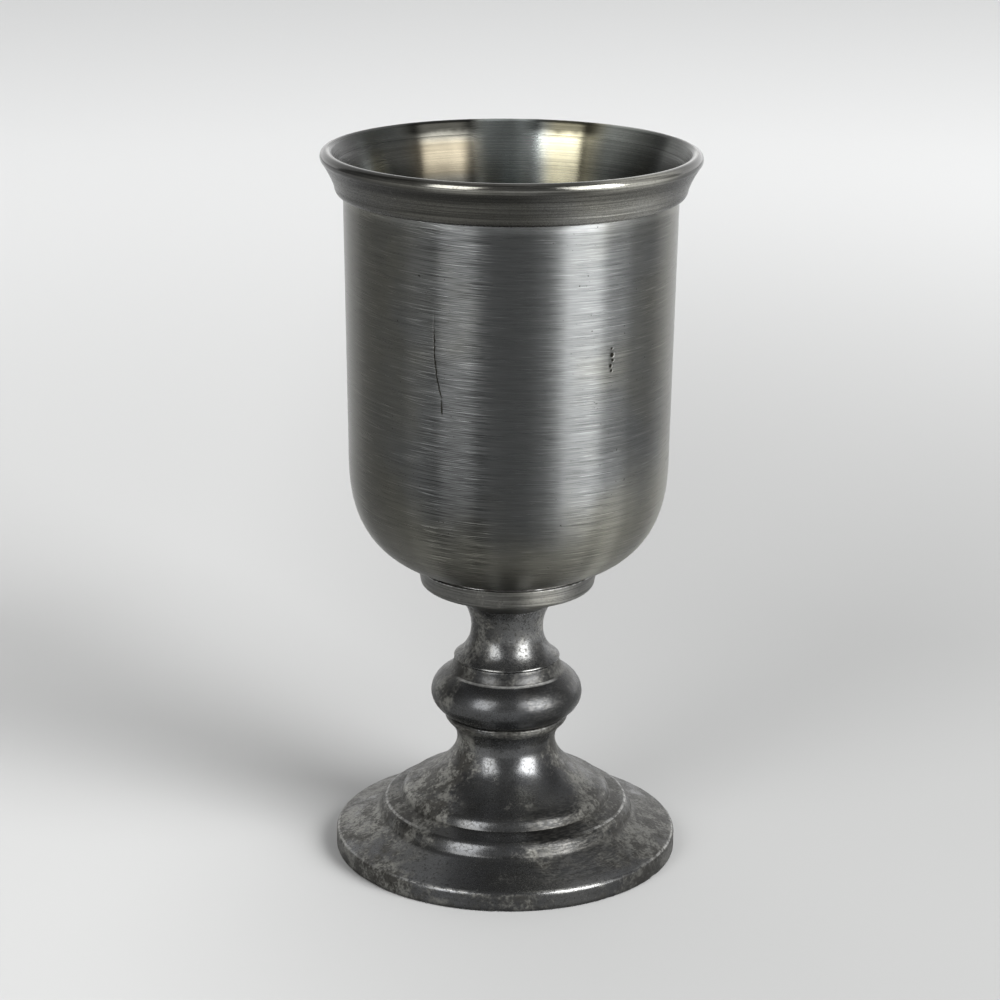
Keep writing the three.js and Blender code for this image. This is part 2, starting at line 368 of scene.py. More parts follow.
def knop_outline(goblet):
    """The knop: cushion, band and bore."""
    knop, stem = goblet.knop, goblet.stem
    bore = stem.lower_tenon[0] + SOLDER
    first = math.asin((knop.base - knop.centre[1]) / knop.half[1])
    last = math.asin((knop.crease - knop.centre[1]) / knop.half[1])
    cushion = arc(knop.centre, knop.half, first, last, 80)
    return np.vstack([
        at(bore, knop.base),
        cushion,
        bend(cushion[-1], knop.band_hollow, knop.band_top),
        at(knop.band_top[0] - knop.chamfer, stem.bell_base),
        at(bore, stem.bell_base),
        at(bore, knop.base),
    ])


def foot_outline(goblet):
    """The foot: socket, hollow underside, edge, step, shoulder, trumpet and fillet ring."""
    foot, stem, knop = goblet.foot, goblet.stem, goblet.knop
    socket = stem.lower_tenon[0] + SOLDER
    roof = (foot.hollow_roof, stem.lower_tenon[1])
    return np.vstack([
        at(socket, knop.base),
        at(socket, roof[1]),
        sweep(roof, foot.hollow_high, foot.hollow_low, foot.hollow_shoulder),
        bend(foot.hollow_shoulder, foot.hollow_plate_pull, foot.hollow_step),
        bend(foot.hollow_step, foot.hollow_rim_pull, foot.hollow_edge),
        at(foot.mouth, 0),
        at(foot.radius - foot.ease, 0),
        at(foot.radius, foot.ease),
        bend((foot.radius, foot.edge), (foot.radius, foot.edge_pull), foot.slope_foot),
        bend(foot.slope_top, foot.slope_pull, foot.step_foot),
        bend(foot.step_foot, foot.step_pull, foot.step_edge),
        bend(foot.step_edge, foot.plate_pull, foot.shoulder_foot),
        sweep(foot.shoulder_foot, foot.shoulder_low, foot.shoulder_high, foot.trumpet_foot),
        sweep(foot.trumpet_foot, foot.trumpet_low, foot.trumpet_high, foot.trumpet_top),
        bend(foot.fillet_foot, foot.fillet_pull, foot.fillet_edge),
        at(foot.fillet_edge[0] - foot.chamfer, knop.base),
        at(socket, knop.base),
    ])


def sleeve_outline(inner, bottom, top):
    """A sleeve of solder round a tenon."""
    outer = inner + SOLDER
    return np.array([(inner, bottom), (outer, bottom), (outer, top), (inner, top), (inner, bottom)])


def seam_outlines(goblet):
    """The solder seams by the node that each one stands for."""
    bowl, seat, stem, knop = goblet.bowl, goblet.seat, goblet.stem, goblet.knop
    flare = bowl_flare(bowl)
    dry_reach = DRY_SHARE * seat.reach
    bowl_ring = bowl_bottom(bowl, SOLDER, dry_reach, seat.reach)
    bowl_ring = np.vstack([bowl_ring, bowl_bottom(bowl, 0, seat.reach, dry_reach), bowl_ring[:1]])
    ledge, inner = bowl.rim_height + SOLDER, bowl.rim_radius - bowl.rim_thickness + SOLDER
    lip_ring = np.vstack([
        flare + (SOLDER, 0),
        at(bowl.rim_radius + SOLDER, ledge),
        at(inner, ledge),
        at(inner, bowl.rim_height),
        flare[::-1],
        flare[:1] + (SOLDER, 0),
    ])
    return {
        "lip_solder": lip_ring,
        "bowl_solder": bowl_ring,
        "seat_solder": sleeve_outline(stem.upper_tenon[0], stem.neck_top[1], stem.upper_tenon[1]),
        "knop_solder": sleeve_outline(stem.lower_tenon[0], knop.base, stem.bell_base),
        "foot_solder": sleeve_outline(stem.lower_tenon[0], stem.lower_tenon[1], knop.base),
    }


# Turning an outline into a mesh

# Curvature per mm at which metal starts to count as an arris or as a hollow, and at which it counts in full
ARRIS = (0.5, 2.5)
HOLLOW = (0.1, 0.9)
# How far those signs spread along the outline, and how much closer rows lie for each unit of curvature
SIGN_SPREAD = 0.22 * MM
CROWDING = 1.5
# Share of the radius by which hand turning misses a true circle, and the depth of a knock
UNTRUE = 0.0016
KNOCK = 0.1 * MM


class Turning(NamedTuple):
    """How a piece is turned: how many rows and sides it has, and how far its arrises are worn."""
    rows: int
    sides: int
    worn: float = WORN


class Rows(NamedTuple):
    """Rows of a turned piece: outline points, distance along it in mm, and shares of arris and hollow."""
    points: np.ndarray
    along: np.ndarray
    edge: np.ndarray
    hollow: np.ndarray
    ring: bool


class Surface(NamedTuple):
    """A turned surface: points, faces, a UV for each corner and whether a face is inside. Each point has
    the cosine and sine of its turn with its distance along the outline, and how much it is on an arris or
    in a hollow."""
    points: np.ndarray
    faces: list
    uv: np.ndarray
    inner: np.ndarray
    lathe: np.ndarray
    edge: np.ndarray
    hollow: np.ndarray


def even_steps(outline, step):
    """Points at even distances along an outline."""
    gaps = np.hypot(*np.diff(outline, axis=0).T)
    along = np.concatenate([[0.0], np.cumsum(gaps)])
    places = np.linspace(0, along[-1], int(along[-1] / step) + 1)
    return np.column_stack([np.interp(places, along, column) for column in outline.T])


def averaged(values, spread, ring, mirror):
    """Each row of values averaged with its neighbours under a bell curve of that spread, in steps. A ring
    runs on from its end to its start. Other outlines end on the axis, and go on there as their mirror
    image."""
    reach = int(3 * spread) + 1
    bell = np.exp(-0.5 * (np.arange(-reach, reach + 1) / spread) ** 2)
    bell /= bell.sum()
    if ring:
        longer = np.concatenate([values[-reach:], values, values[:reach]])
    else:
        longer = np.concatenate([values[reach:0:-1] * mirror, values, values[-2:-reach - 2:-1] * mirror])
    return np.column_stack([np.convolve(column, bell, "valid") for column in longer.T])


def worn_rows(outline, turning):
    """Rounds an outline's arrises by averaging it, then picks rows that lie closer where it turns sharply.
    The turn is the curvature (r'z'' - z'r'') / |(r', z')|^3 per mm: positive on an arris, negative in a
    hollow."""
    ring = bool(outline[0, 0] > 0)
    fine = even_steps(outline, STEP)
    fine = fine[:-1] if ring else fine
    fine = averaged(fine, turning.worn / STEP, ring, np.array([-1.0, 1.0]))
    first = np.gradient(fine, axis=0)
    second = np.gradient(first, axis=0)
    speed = np.hypot(*first.T)
    turn = (first[:, 0] * second[:, 1] - first[:, 1] * second[:, 0]) / speed ** 3 * MM
    signs = np.column_stack([np.interp(turn, ARRIS, (0, 1)), np.interp(-turn, HOLLOW, (0, 1)), np.abs(turn)])
    signs = averaged(signs, SIGN_SPREAD / STEP, ring, np.ones(3))
    share = np.cumsum(1 + CROWDING * signs[:, 2])
    share = (share - share[0]) / (share[-1] - share[0])
    places = np.interp(np.linspace(0, 1, turning.rows, endpoint=not ring), share, np.arange(len(fine)))
    along = np.cumsum(speed) / MM
    columns = np.column_stack([fine, along, signs[:, :2]])
    picked = np.column_stack([np.interp(places, np.arange(len(fine)), column) for column in columns.T])
    if not ring:
        picked[[0, -1], 0] = 0.0
    return Rows(picked[:, :2], picked[:, 2], picked[:, 3] * turning.worn / WORN, picked[:, 4], ring)


def out_of_true(turn, radius, height):
    """How far hand turning leaves a true circle: two slow waves round it, in proportion to the radius."""
    waves = np.cos(2 * turn + 0.6 + 9 * height) + 0.6 * np.cos(3 * turn - 1.1 - 14 * height)
    return UNTRUE * radius * waves


def knocks(turn, edge):
    """How far small knocks press an arris in: a few waves of unlike length round it, where they add up."""
    waves = np.sin(7 * turn + 0.4) + np.sin(13 * turn + 2.1)
    waves = waves + np.sin(29 * turn + 4.0) + np.sin(47 * turn + 1.3)
    return KNOCK * edge * np.clip(waves - 0.9, 0, 2)


def turned_surface(rows, sides):
    """Turns rows round the axis: row (r, z) at turn a gives the point (r cos a, r sin a, z), with r a
    little out of true. Rows on the axis become one point with a fan of triangles. Faces past the highest row
    are inside."""
    outline, along = rows.points, rows.along
    rings = slice(None) if rows.ring else slice(1, -1)
    radius, height = outline[rings, 0][:, None], outline[rings, 1][:, None]
    turn = np.arange(sides)[None, :] * (2 * math.pi / sides)
    radius = radius + out_of_true(turn, radius, height) - knocks(turn, rows.edge[rings][:, None])
    count = len(radius)
    cosine, sine = np.cos(turn), np.sin(turn)
    grid = np.stack(np.broadcast_arrays(radius * cosine, radius * sine, height), axis=-1)
    lathe = np.stack(np.broadcast_arrays(cosine, sine, along[rings][:, None]), axis=-1)
    points, lathe = grid.reshape(-1, 3), lathe.reshape(-1, 3)
    edge, hollow = (np.repeat(values[rings], sides) for values in (rows.edge, rows.hollow))

    ring = np.arange(sides)
    following = (ring + 1) % sides
    lower = np.arange(count if rows.ring else count - 1)[:, None]
    upper = (lower + 1) % count
    quads = np.stack([lower * sides + ring, lower * sides + following,
                      upper * sides + following, upper * sides + ring], axis=-1)
    faces = quads.reshape(-1, 4).tolist()
    around = np.stack([ring, ring + 1, ring + 1, ring], axis=-1) / sides
    length_now = along[rings][lower]
    length_next = np.append(along[rings][1:], along[-1] + 1)[lower]
    up = np.stack(np.broadcast_arrays(length_now, length_now, length_next, length_next), axis=-1)
    uv = np.stack(np.broadcast_arrays(around[None], up), axis=-1).reshape(-1, 2)
    inner = np.repeat(lower[:, 0] >= int(np.argmax(outline[rings, 1])), sides)
    if not rows.ring:
        poles = len(points) + np.arange(2)
        points = np.vstack([points, np.column_stack([np.zeros((2, 2)), outline[[0, -1], 1]])])
        lathe = np.vstack([lathe, np.column_stack([np.zeros((2, 2)), along[[0, -1]]])])
        edge, hollow = np.append(edge, [0, 0]), np.append(hollow, [0, 0])
        last = (count - 1) * sides
        faces += np.column_stack([np.full(sides, poles[0]), following, ring]).tolist()
        faces += np.column_stack([last + ring, last + following, np.full(sides, poles[1])]).tolist()
        first_uv = np.stack([np.column_stack([ring + 0.5, ring + 1, ring]) / sides,
                             np.tile(along[[0, 1, 1]], (sides, 1))], axis=-1)
        last_uv = np.stack([np.column_stack([ring, ring + 1, ring + 0.5]) / sides,
                            np.tile(along[[-2, -2, -1]], (sides, 1))], axis=-1)
        uv = np.vstack([uv, first_uv.reshape(-1, 2), last_uv.reshape(-1, 2)])
        inner = np.concatenate([inner, np.zeros(sides, bool), np.ones(sides, bool)])
    return Surface(points, faces, uv, inner, lathe, edge, hollow)


def turned_piece(name, outline, turning, finishes, nodes):
    """A piece turned from its outline, in place of nodes of the frame. Its inside takes the last finish."""
    surface = turned_surface(worn_rows(outline, turning), turning.sides)
    mesh = bpy.data.meshes.new(name)
    mesh.from_pydata(surface.points.tolist(), [], surface.faces)
    around_and_up = (surface.uv * (1, MM)).astype(np.float32)
    mesh.uv_layers.new(name="lathe_uv").data.foreach_set("uv", around_and_up.ravel())
    lathe = mesh.attributes.new("lathe", "FLOAT_VECTOR", "POINT")
    lathe.data.foreach_set("vector", surface.lathe.astype(np.float32).ravel())
    for sign in ("edge", "hollow"):
        values = getattr(surface, sign).astype(np.float32)
        mesh.attributes.new(sign, "FLOAT", "POINT").data.foreach_set("value", values)
    for finish in finishes:
        mesh.materials.append(finish)
    mesh.polygons.foreach_set("material_index", (surface.inner * (len(finishes) - 1)).astype(np.int32))
    mesh.set_sharp_from_angle(angle=SHARP)
    mesh.update()
    if mesh.validate():
        raise RuntimeError(f"{name} has a faulty mesh")
    piece = bpy.data.objects.new(name, mesh)
    bpy.context.scene.collection.objects.link(piece)
    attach(piece, BODY)
    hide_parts(*nodes)


# Shader nodes

class Wiring:
    """Adds nodes to one node tree and joins them. An input is a number, a colour or another node's output."""

    def __init__(self, tree):
        self.tree = tree

    def node(self, kind, inputs=None, **settings):
        """A node of that kind, with its settings and inputs."""
        made = self.tree.nodes.new(kind)
        for key, value in settings.items():
            setattr(made, key, value)
        for key, value in (inputs or {}).items():
            self.feed(made.inputs[key], value)
        return made

    def feed(self, socket, value):
        """Joins an output to a socket, or sets the socket to a number or to a colour."""
        if isinstance(value, bpy.types.NodeSocket):
            self.tree.links.new(value, socket)
        elif socket.type == "RGBA":
            socket.default_value = (*value, 1.0)
        else:
            socket.default_value = value

    def math(self, operation, first, second=0.0):
        return self.node("ShaderNodeMath", {0: first, 1: second}, operation=operation).outputs[0]

    def add(self, first, *others):
        for other in others:
            first = self.math("ADD", first, other)
        return first

    def times(self, first, *others):
        for other in others:
            first = self.math("MULTIPLY", first, other)
        return first

    def minus(self, first, second):
        return self.math("SUBTRACT", first, second)

    def larger(self, first, second):
        return self.math("MAXIMUM", first, second)

    def off(self, value, middle=0.0):
        """How far a value is from its middle, without sign."""
        return self.math("ABSOLUTE", self.minus(value, middle))

    def ease(self, value, low, high, start=0.0, end=1.0):
        """Goes smoothly from start to end as the value goes from low to high."""
        inputs = {"Value": value, "From Min": low, "From Max": high, "To Min": start, "To Max": end}
        return self.node("ShaderNodeMapRange", inputs, interpolation_type="SMOOTHSTEP").outputs["Result"]

    def between(self, value, rise, fall):
        """1 where the value lies between its rise and its fall, each given as where it starts and ends."""
        return self.times(self.ease(value, *rise), self.ease(value, *fall))

    def mix(self, share, first, second):
        """The first value, or the second where the share is 1."""
        return self.node("ShaderNodeMix", {0: share, 2: first, 3: second}, data_type="FLOAT").outputs[0]

    def tint(self, share, first, second):
        """The first colour, or the second where the share is 1."""
        return self.node("ShaderNodeMix", {0: share, 6: first, 7: second}, data_type="RGBA").outputs[2]

    def shade(self, tinted, tone):
        """A colour times a tone."""
        inputs = {0: 1.0, 6: tinted, 7: tone}
        return self.node("ShaderNodeMix", inputs, data_type="RGBA", blend_type="MULTIPLY").outputs[2]

    def stretch(self, vector, *factors):
        """A vector times a factor along each axis."""
        factors = self.node("ShaderNodeCombineXYZ", dict(enumerate(factors))).outputs[0]
        return self.node("ShaderNodeVectorMath", {0: vector, 1: factors}, operation="MULTIPLY").outputs[0]

    def noise(self, vector, scale, detail=2.0, roughness=0.5):
        inputs = {"Vector": vector, "Scale": scale, "Detail": detail, "Roughness": roughness}
        return self.node("ShaderNodeTexNoise", inputs).outputs["Fac"]

    def parts(self, vector):
        return self.node("ShaderNodeSeparateXYZ", {0: vector}).outputs

    def length(self, vector):
        return self.node("ShaderNodeVectorMath", {0: vector}, operation="LENGTH").outputs["Value"]

    def attribute(self, name):
        return self.node("ShaderNodeAttribute", attribute_name=name).outputs

    def position(self):
        return self.node("ShaderNodeTexCoord").outputs["Object"]

    def placed(self, group, **inputs):
        """The outputs of a node group that is placed here."""
        return self.node("ShaderNodeGroup", inputs, node_tree=group).outputs

    def bump(self, strength, depth, height):
        """A normal from the height of the relief."""
        inputs = {"Strength": strength, "Distance": depth, "Height": height}
        return self.node("ShaderNodeBump", inputs).outputs[0]


def shader_group(name, inputs, outputs):
    """A new shader node group: its wiring, the outputs of its entry and the inputs of its exit."""
    tree = bpy.data.node_groups.new(name, "ShaderNodeTree")
    for label, kind in inputs.items():
        tree.interface.new_socket(label, in_out="INPUT", socket_type="NodeSocket" + kind)
    for label in outputs:
        tree.interface.new_socket(label, in_out="OUTPUT", socket_type="NodeSocketFloat")
    return Wiring(tree), tree.nodes.new("NodeGroupInput").outputs, tree.nodes.new("NodeGroupOutput").inputs


def built_once(build):
    """A group under the function's name, built the first time that it is asked for."""
    def find():
        return bpy.data.node_groups.get(build.__name__) or build(build.__name__)
    return find


@built_once
def turning_lines(name):
    """Lines that run round a turned piece: noise drawn out along them. Along is how often a line changes in
    a radian, Across how many lines there are in a mm, and Slant how far in mm they drop in a radian in
    front."""
    wiring, enter, leave = shader_group(
        name, {"Lathe": "Vector", "Along": "Float", "Across": "Float", "Slant": "Float"}, ["Lines"])
    cosine, sine, along = wiring.parts(enter["Lathe"])
    slanted = wiring.add(along, wiring.times(wiring.minus(cosine, sine), enter["Slant"]))
    place = wiring.node("ShaderNodeCombineXYZ", {0: cosine, 1: sine, 2: slanted}).outputs[0]
    place = wiring.stretch(place, enter["Along"], enter["Along"], enter["Across"])
    wiring.feed(leave["Lines"], wiring.noise(place, 1.0, 3.0, 0.6))
    return wiring.tree


@built_once
def scratches(name):
    """Short scratches: the crests of lines that slant across the turning. Cover is the share they take."""
    wiring, enter, leave = shader_group(
        name, {"Lathe": "Vector", "Slant": "Float", "Cover": "Float"}, ["Scratches"])
    lines = wiring.placed(turning_lines(), Lathe=enter["Lathe"], Along=3.0, Across=5.4, Slant=enter["Slant"])
    crest = wiring.minus(0.74, wiring.times(enter["Cover"], 0.24))
    wiring.feed(leave["Scratches"], wiring.ease(wiring.minus(lines["Lines"], crest), 0.0, 0.05))
    return wiring.tree


@built_once
def oxide_mottle(name):
    """Mottled oxide: noise of three sizes added up, and shifted by the cover. Pale tells the pale oxide in
    it from the brown, and Spots are dark spots."""
    wiring, enter, leave = shader_group(
        name, {"Position": "Vector", "Cover": "Float"}, ["Oxide", "Pale", "Spots"])
    broad = wiring.noise(enter["Position"], 95.0, 2.0, 0.5)
    patchy = wiring.noise(enter["Position"], 340.0, 3.0, 0.6)
    fine = wiring.noise(enter["Position"], 1250.0, 3.0, 0.65)
    mixed = wiring.add(wiring.times(broad, 0.38), wiring.times(patchy, 0.4), wiring.times(fine, 0.22))
    shifted = wiring.add(mixed, wiring.times(wiring.minus(enter["Cover"], 0.5), 0.4))
    wiring.feed(leave["Oxide"], wiring.ease(shifted, 0.4, 0.6))
    blotches = wiring.noise(enter["Position"], 210.0, 4.0, 0.62)
    tone = wiring.add(wiring.times(blotches, 0.6), wiring.times(fine, 0.4))
    wiring.feed(leave["Pale"], wiring.ease(tone, 0.45, 0.57))
    dark = wiring.noise(enter["Position"], 520.0, 4.0, 0.65)
    wiring.feed(leave["Spots"], wiring.ease(dark, 0.57, 0.7))
    return wiring.tree


@built_once
def edge_wear(name):
    """Metal rubbed bright along an arris, broken up by noise of two sizes."""
    wiring, enter, leave = shader_group(
        name, {"Position": "Vector", "Edge": "Float", "Amount": "Float"}, ["Wear"])
    broken = wiring.noise(enter["Position"], 600.0, 4.0, 0.7)
    stretches = wiring.ease(wiring.noise(enter["Position"], 75.0, 1.0, 0.5), 0.38, 0.55)
    reach = wiring.add(wiring.times(enter["Edge"], 0.6), wiring.times(broken, 0.7))
    worn = wiring.times(wiring.ease(reach, 0.5, 0.95), wiring.ease(enter["Edge"], 0.05, 0.4))
    wiring.feed(leave["Wear"], wiring.times(worn, stretches, enter["Amount"]))
    return wiring.tree


# Finishes. Lengths in them are in mm, and the cosine and sine of a point's turn are its shares of the radius
# to the right and to the back. The scale of noise is in lumps per metre.

GRAIN_ROUND = 0.25


def new_finish(name, grain):
    """A metal whose grain runs round the piece: the finish, its wiring and its shader's inputs."""
    finish = bpy.data.materials.new(name)
    finish.use_nodes = True
    finish.node_tree.nodes.clear()
    wiring = Wiring(finish.node_tree)
    tangent = wiring.node("ShaderNodeTangent", direction_type="UV_MAP", uv_map="lathe_uv").outputs[0]
    metal = wiring.node("ShaderNodeBsdfPrincipled", {
        "Metallic": 1.0, "Anisotropic": grain, "Anisotropic Rotation": GRAIN_ROUND, "Tangent": tangent})
    wiring.node("ShaderNodeOutputMaterial", {"Surface": metal.outputs[0]})
    return finish, wiring, metal.inputs


def lathe_and_place(wiring):
    """The lathe attribute, the position, and the height in mm."""
    position = wiring.position()
    return wiring.attribute("lathe")["Vector"], position, wiring.times(wiring.parts(position)[2], 1 / MM)


def facing(wiring, position, azimuth):
    """Distances out towards an azimuth, from the front towards +X, and sideways from it."""
    x, y, _ = wiring.parts(position)
    out, side = math.sin(azimuth) / MM, math.cos(azimuth) / MM
    towards = wiring.add(wiring.times(x, out), wiring.times(y, -side))
    sideways = wiring.add(wiring.times(x, side), wiring.times(y, out))
    return towards, sideways


# Distance out at which the wall is on the near side, and where the crack and the pits are
NEAR_SIDE = (30, 33)
CRACK_AZIMUTH = math.radians(-26)
CRACK_HEIGHTS = ((110.8, 111.6), (134, 128))
PITS_AZIMUTH = math.radians(36.2)
PITS_HEIGHT = 122.4
# Each pit's place sideways, height and radius
PITS = ((0.0, 124.8, 0.42), (0.1, 123.4, 0.75), (0.3, 122.3, 0.5), (-0.2, 121.1, 0.58), (0.0, 120.0, 0.45))


def crack(wiring, position, height):
    """A thin crack down the wall on the left, which drifts to the right, wanders and is broken by noise."""
    towards, sideways = facing(wiring, position, CRACK_AZIMUTH)
    drift = wiring.ease(height, 124, 113, 0.0, 1.7)
    wobble = wiring.times(wiring.minus(wiring.noise(position, 380.0, 4.0, 0.75), 0.5), 1.3)
    line = wiring.ease(wiring.off(sideways, wiring.add(drift, wobble)), 0.26, 0.07)
    broken = wiring.ease(wiring.noise(position, 420.0, 2.0, 0.6), 0.3, 0.44, 0.35, 1.0)
    near = wiring.ease(towards, *NEAR_SIDE)
    return wiring.times(line, near, wiring.between(height, *CRACK_HEIGHTS), broken)


def pit_cluster(wiring, position, height):
    """A cluster of pits in the wall on the right, and the stain round it, both with an uneven edge."""
    towards, sideways = facing(wiring, position, PITS_AZIMUTH)
    near = wiring.ease(towards, *NEAR_SIDE)
    uneven = wiring.times(wiring.minus(wiring.noise(position, 1500.0, 3.0, 0.7), 0.5), 0.4)
    pits = 0.0
    for side, rise, size in PITS:
        across, up = wiring.minus(sideways, side), wiring.minus(height, rise)
        squares = wiring.add(wiring.times(across, across), wiring.times(up, up))
        away = wiring.add(wiring.math("SQRT", squares), uneven)
        pits = wiring.larger(pits, wiring.times(wiring.ease(away, size, 0.5 * size), near))
    up = wiring.times(wiring.minus(height, PITS_HEIGHT), 0.3)
    squares = wiring.add(wiring.times(sideways, sideways), wiring.times(up, up))
    stain = wiring.times(wiring.ease(wiring.add(squares, uneven), 1.0, 0.1, 0.0, 0.4), near)
    return pits, stain


def stray_pits(wiring, position):
    """Tiny pits all over the wall, fewest down the middle of its front and back."""
    dots = wiring.noise(position, 1150.0, 2.0, 0.6)
    fewest = wiring.ease(wiring.off(wiring.parts(position)[0]), 6 * MM, 12 * MM, 0.75, 0.7)
    return wiring.ease(wiring.minus(dots, fewest), 0.0, 0.06)


# Where the softboxes' reflections run down the wall in two strips, as cosines where they start and end.
# Highlights and a stronger grain are painted into these strips, and shade onto their lower part
LEFT_STRIP = ((-0.62, -0.4), (-0.08, -0.2))
RIGHT_STRIP = ((0.12, 0.3), (0.75, 0.55))
# Each painted reflection streak down the front of the wall: its share of the radius to the right, half width
# and tone
REFLECTION_STREAKS = ((-0.83, 0.15, 0.88), (-0.53, 0.12, 1.26), (-0.07, 0.2, 0.91), (0.2, 0.11, 1.2), (0.38, 0.1, 0.94),
           (0.63, 0.1, 1.3), (0.84, 0.11, 0.82), (0.96, 0.07, 1.25))


def broad_streaks(wiring, cosine, sine):
    """Broad streaks of painted reflection down the front of the wall, lighter and darker bands that stand for
    the surroundings.
    """
    tone = 1.0
    front = wiring.ease(sine, 0.0, -0.25)
    for middle, half, change in REFLECTION_STREAKS:
        streak = wiring.times(front, wiring.ease(wiring.off(cosine, middle), half, 0.2 * half))
        tone = wiring.times(tone, wiring.mix(streak, 1.0, change))
    return tone


def wall_warmth(wiring, position, height, cosine, sine):
    """How olive the wall is: more at the sides and low down, clouded, and less at the back."""
    clouds = wiring.noise(position, 45.0, 3.0, 0.55)
    low = wiring.ease(height, 100, 75, 0.0, 0.5)
    warmth = wiring.add(sine, clouds, low, wiring.times(cosine, -0.15))
    return wiring.times(wiring.ease(warmth, -0.45, 0.1), wiring.ease(sine, 0.0, 0.5, 1.0, 0.6))


def wall_tone(wiring, height, cosine, left, right):
    """Painted light and shade on the wall: painted shade on the lower part of the two reflection strips and
    on the underside towards the seat, a painted highlight in the right strip, painted reflections that make
    the far right and the middle of the rounded bottom paler, and a painted highlight under the lip band."""
    # Painted shade on the lower part of the two reflection strips
    painted_strip_shade = wiring.times(wiring.add(left, wiring.times(right, 0.5)), wiring.ease(height, 130, 88, 0.0, 0.36))
    # Painted shade on the underside towards the seat, down to half the tone
    base = wiring.ease(height, 74, 69, 1.0, 0.5)
    # Painted reflection: the far right is paler, most of all low down
    far_right = wiring.ease(cosine, 0.5, 0.66, 1.0, wiring.ease(height, 105, 86, 1.27, 2.3))
    # Painted highlight in the right reflection strip, against a darker wall beside it
    strips = wiring.times(wiring.mix(right, 0.88, 1.26), wiring.mix(left, 1.0, 1.05))
    # Painted reflection: the middle and left of the rounded bottom are paler
    bottom = wiring.ease(cosine, 0.1, 0.4, wiring.ease(cosine, -0.5, -0.1, 1.2, 1.5), 1.0)
    bottom = wiring.ease(height, 86, 78, 1.0, bottom)
    # Painted highlight on the wall under the lip band
    under_lip = wiring.ease(height, 149.6, 151.2, 1.0, 1.6)
    return wiring.times(wiring.minus(1.0, painted_strip_shade), base, far_right, strips, bottom, under_lip)


def brushed_pewter(colours):
    """The bowl's wall: brushed round it, cool in front and olive at the sides, with painted highlights in the
    two strips where the softboxes reflect, painted shade on their lower part, painted reflections as broad
    streaks down the front, scratches, a crack and pits."""
    finish, wiring, metal = new_finish("brushed_pewter", 1.0)
    lathe, position, height = lathe_and_place(wiring)
    cosine, sine, _ = wiring.parts(lathe)
    fine = wiring.placed(turning_lines(), Lathe=lathe, Along=3.2, Across=6.0, Slant=1.0)["Lines"]
    broad = wiring.placed(turning_lines(), Lathe=lathe, Along=3.0, Across=1.2, Slant=0.6)["Lines"]
    steep = wiring.placed(scratches(), Lathe=lathe, Slant=3.0, Cover=0.4)["Scratches"]
    level = wiring.placed(scratches(), Lathe=lathe, Slant=0.6, Cover=0.5)["Scratches"]
    marks = wiring.larger(steep, level)
    pits, stain = pit_cluster(wiring, position, height)
    flaws = wiring.larger(wiring.larger(crack(wiring, position, height), pits), stray_pits(wiring, position))

    left, right = (wiring.between(cosine, *strip) for strip in (LEFT_STRIP, RIGHT_STRIP))
    # Painted sheen: the grain shows stronger in the reflection strips, most of all in the left one
    painted_sheen = wiring.add(wiring.times(left, 0.36), wiring.times(right, 0.1), 0.12)
    grain = wiring.times(wiring.ease(fine, 0.36, 0.64, -1.0, 1.0), painted_sheen)
    tone = wiring.times(wall_tone(wiring, height, cosine, left, right), broad_streaks(wiring, cosine, sine))
    warmth = wall_warmth(wiring, position, height, cosine, sine)
    base = wiring.tint(warmth, colours.brushed, colours.brushed_warm)
    base = wiring.shade(base, wiring.add(grain, wiring.ease(broad, 0.32, 0.68, 0.94, 1.06)))
    # Scratches painted brighter in the left reflection strip: a painted highlight
    base = wiring.shade(base, wiring.mix(marks, 1.0, wiring.mix(left, 1.75, 2.8)))
    base = wiring.shade(base, tone)
    wiring.feed(metal["Base Color"], wiring.tint(wiring.larger(flaws, stain), base, colours.grime))
    wiring.feed(metal["Roughness"], wiring.ease(fine, 0.3, 0.7, 0.27, 0.31))
    sunk = wiring.add(wiring.times(flaws, 3.0), wiring.times(marks, 0.1))
    relief = wiring.minus(wiring.times(fine, 0.8), sunk)
    wiring.feed(metal["Normal"], wiring.bump(strength=0.25, depth=0.08 * MM, height=relief))
    return finish


# Changes of painted light and shade round the right half of the bowl's inside, which shape the softboxes'
# reflections: from one cosine to another, and the factor
INSIDE_RIGHT = ((-0.02, 0.1, 1.8), (0.12, 0.24, 0.4), (0.4, 0.45, 0.85), (0.44, 0.48, 2.5), (0.5, 0.57, 0.76),
                (0.6, 0.88, 0.1))
# The same round the left half, beside what depends on the height
INSIDE_LEFT = ((-0.42, -0.3, 1.3), (-0.24, -0.16, 0.77))
# Heights over which the painted light and shade fade out down the inside
TONES_FADE = (130, 145)


def changes(wiring, tone, cosine, steps):
    """A tone that takes on a factor at each step round the piece."""
    for low, high, factor in steps:
        tone = wiring.times(tone, wiring.ease(cosine, low, high, 1.0, factor))
    return tone


def inside_tarnish(wiring, height, cosine, clouds, colours):
    """Colour of the inside: yellow tarnish on the right, pink on the left, and violet lower down in both.
    These tints lie where the softboxes' reflections fall, so they also paint the colour of those reflections.
    """
    golden = wiring.times(wiring.ease(cosine, 0.14, 0.28), wiring.ease(cosine, 0.6, 0.45, 0.15, 1.0))
    rosy = wiring.times(wiring.ease(cosine, -0.12, -0.3), wiring.ease(cosine, -0.7, -0.55, 0.35, 1.0))
    rosy = wiring.times(rosy, wiring.ease(wiring.off(height, 153.5), 2.5, 5.5, 1.0, 0.5))
    deep = wiring.ease(wiring.add(height, wiring.times(clouds, 30)), 163, 152)
    base = wiring.tint(golden, colours.inside, colours.gold)
    base = wiring.tint(rosy, base, colours.rose)
    return wiring.tint(wiring.times(wiring.add(golden, rosy), deep, 0.7), base, colours.violet)


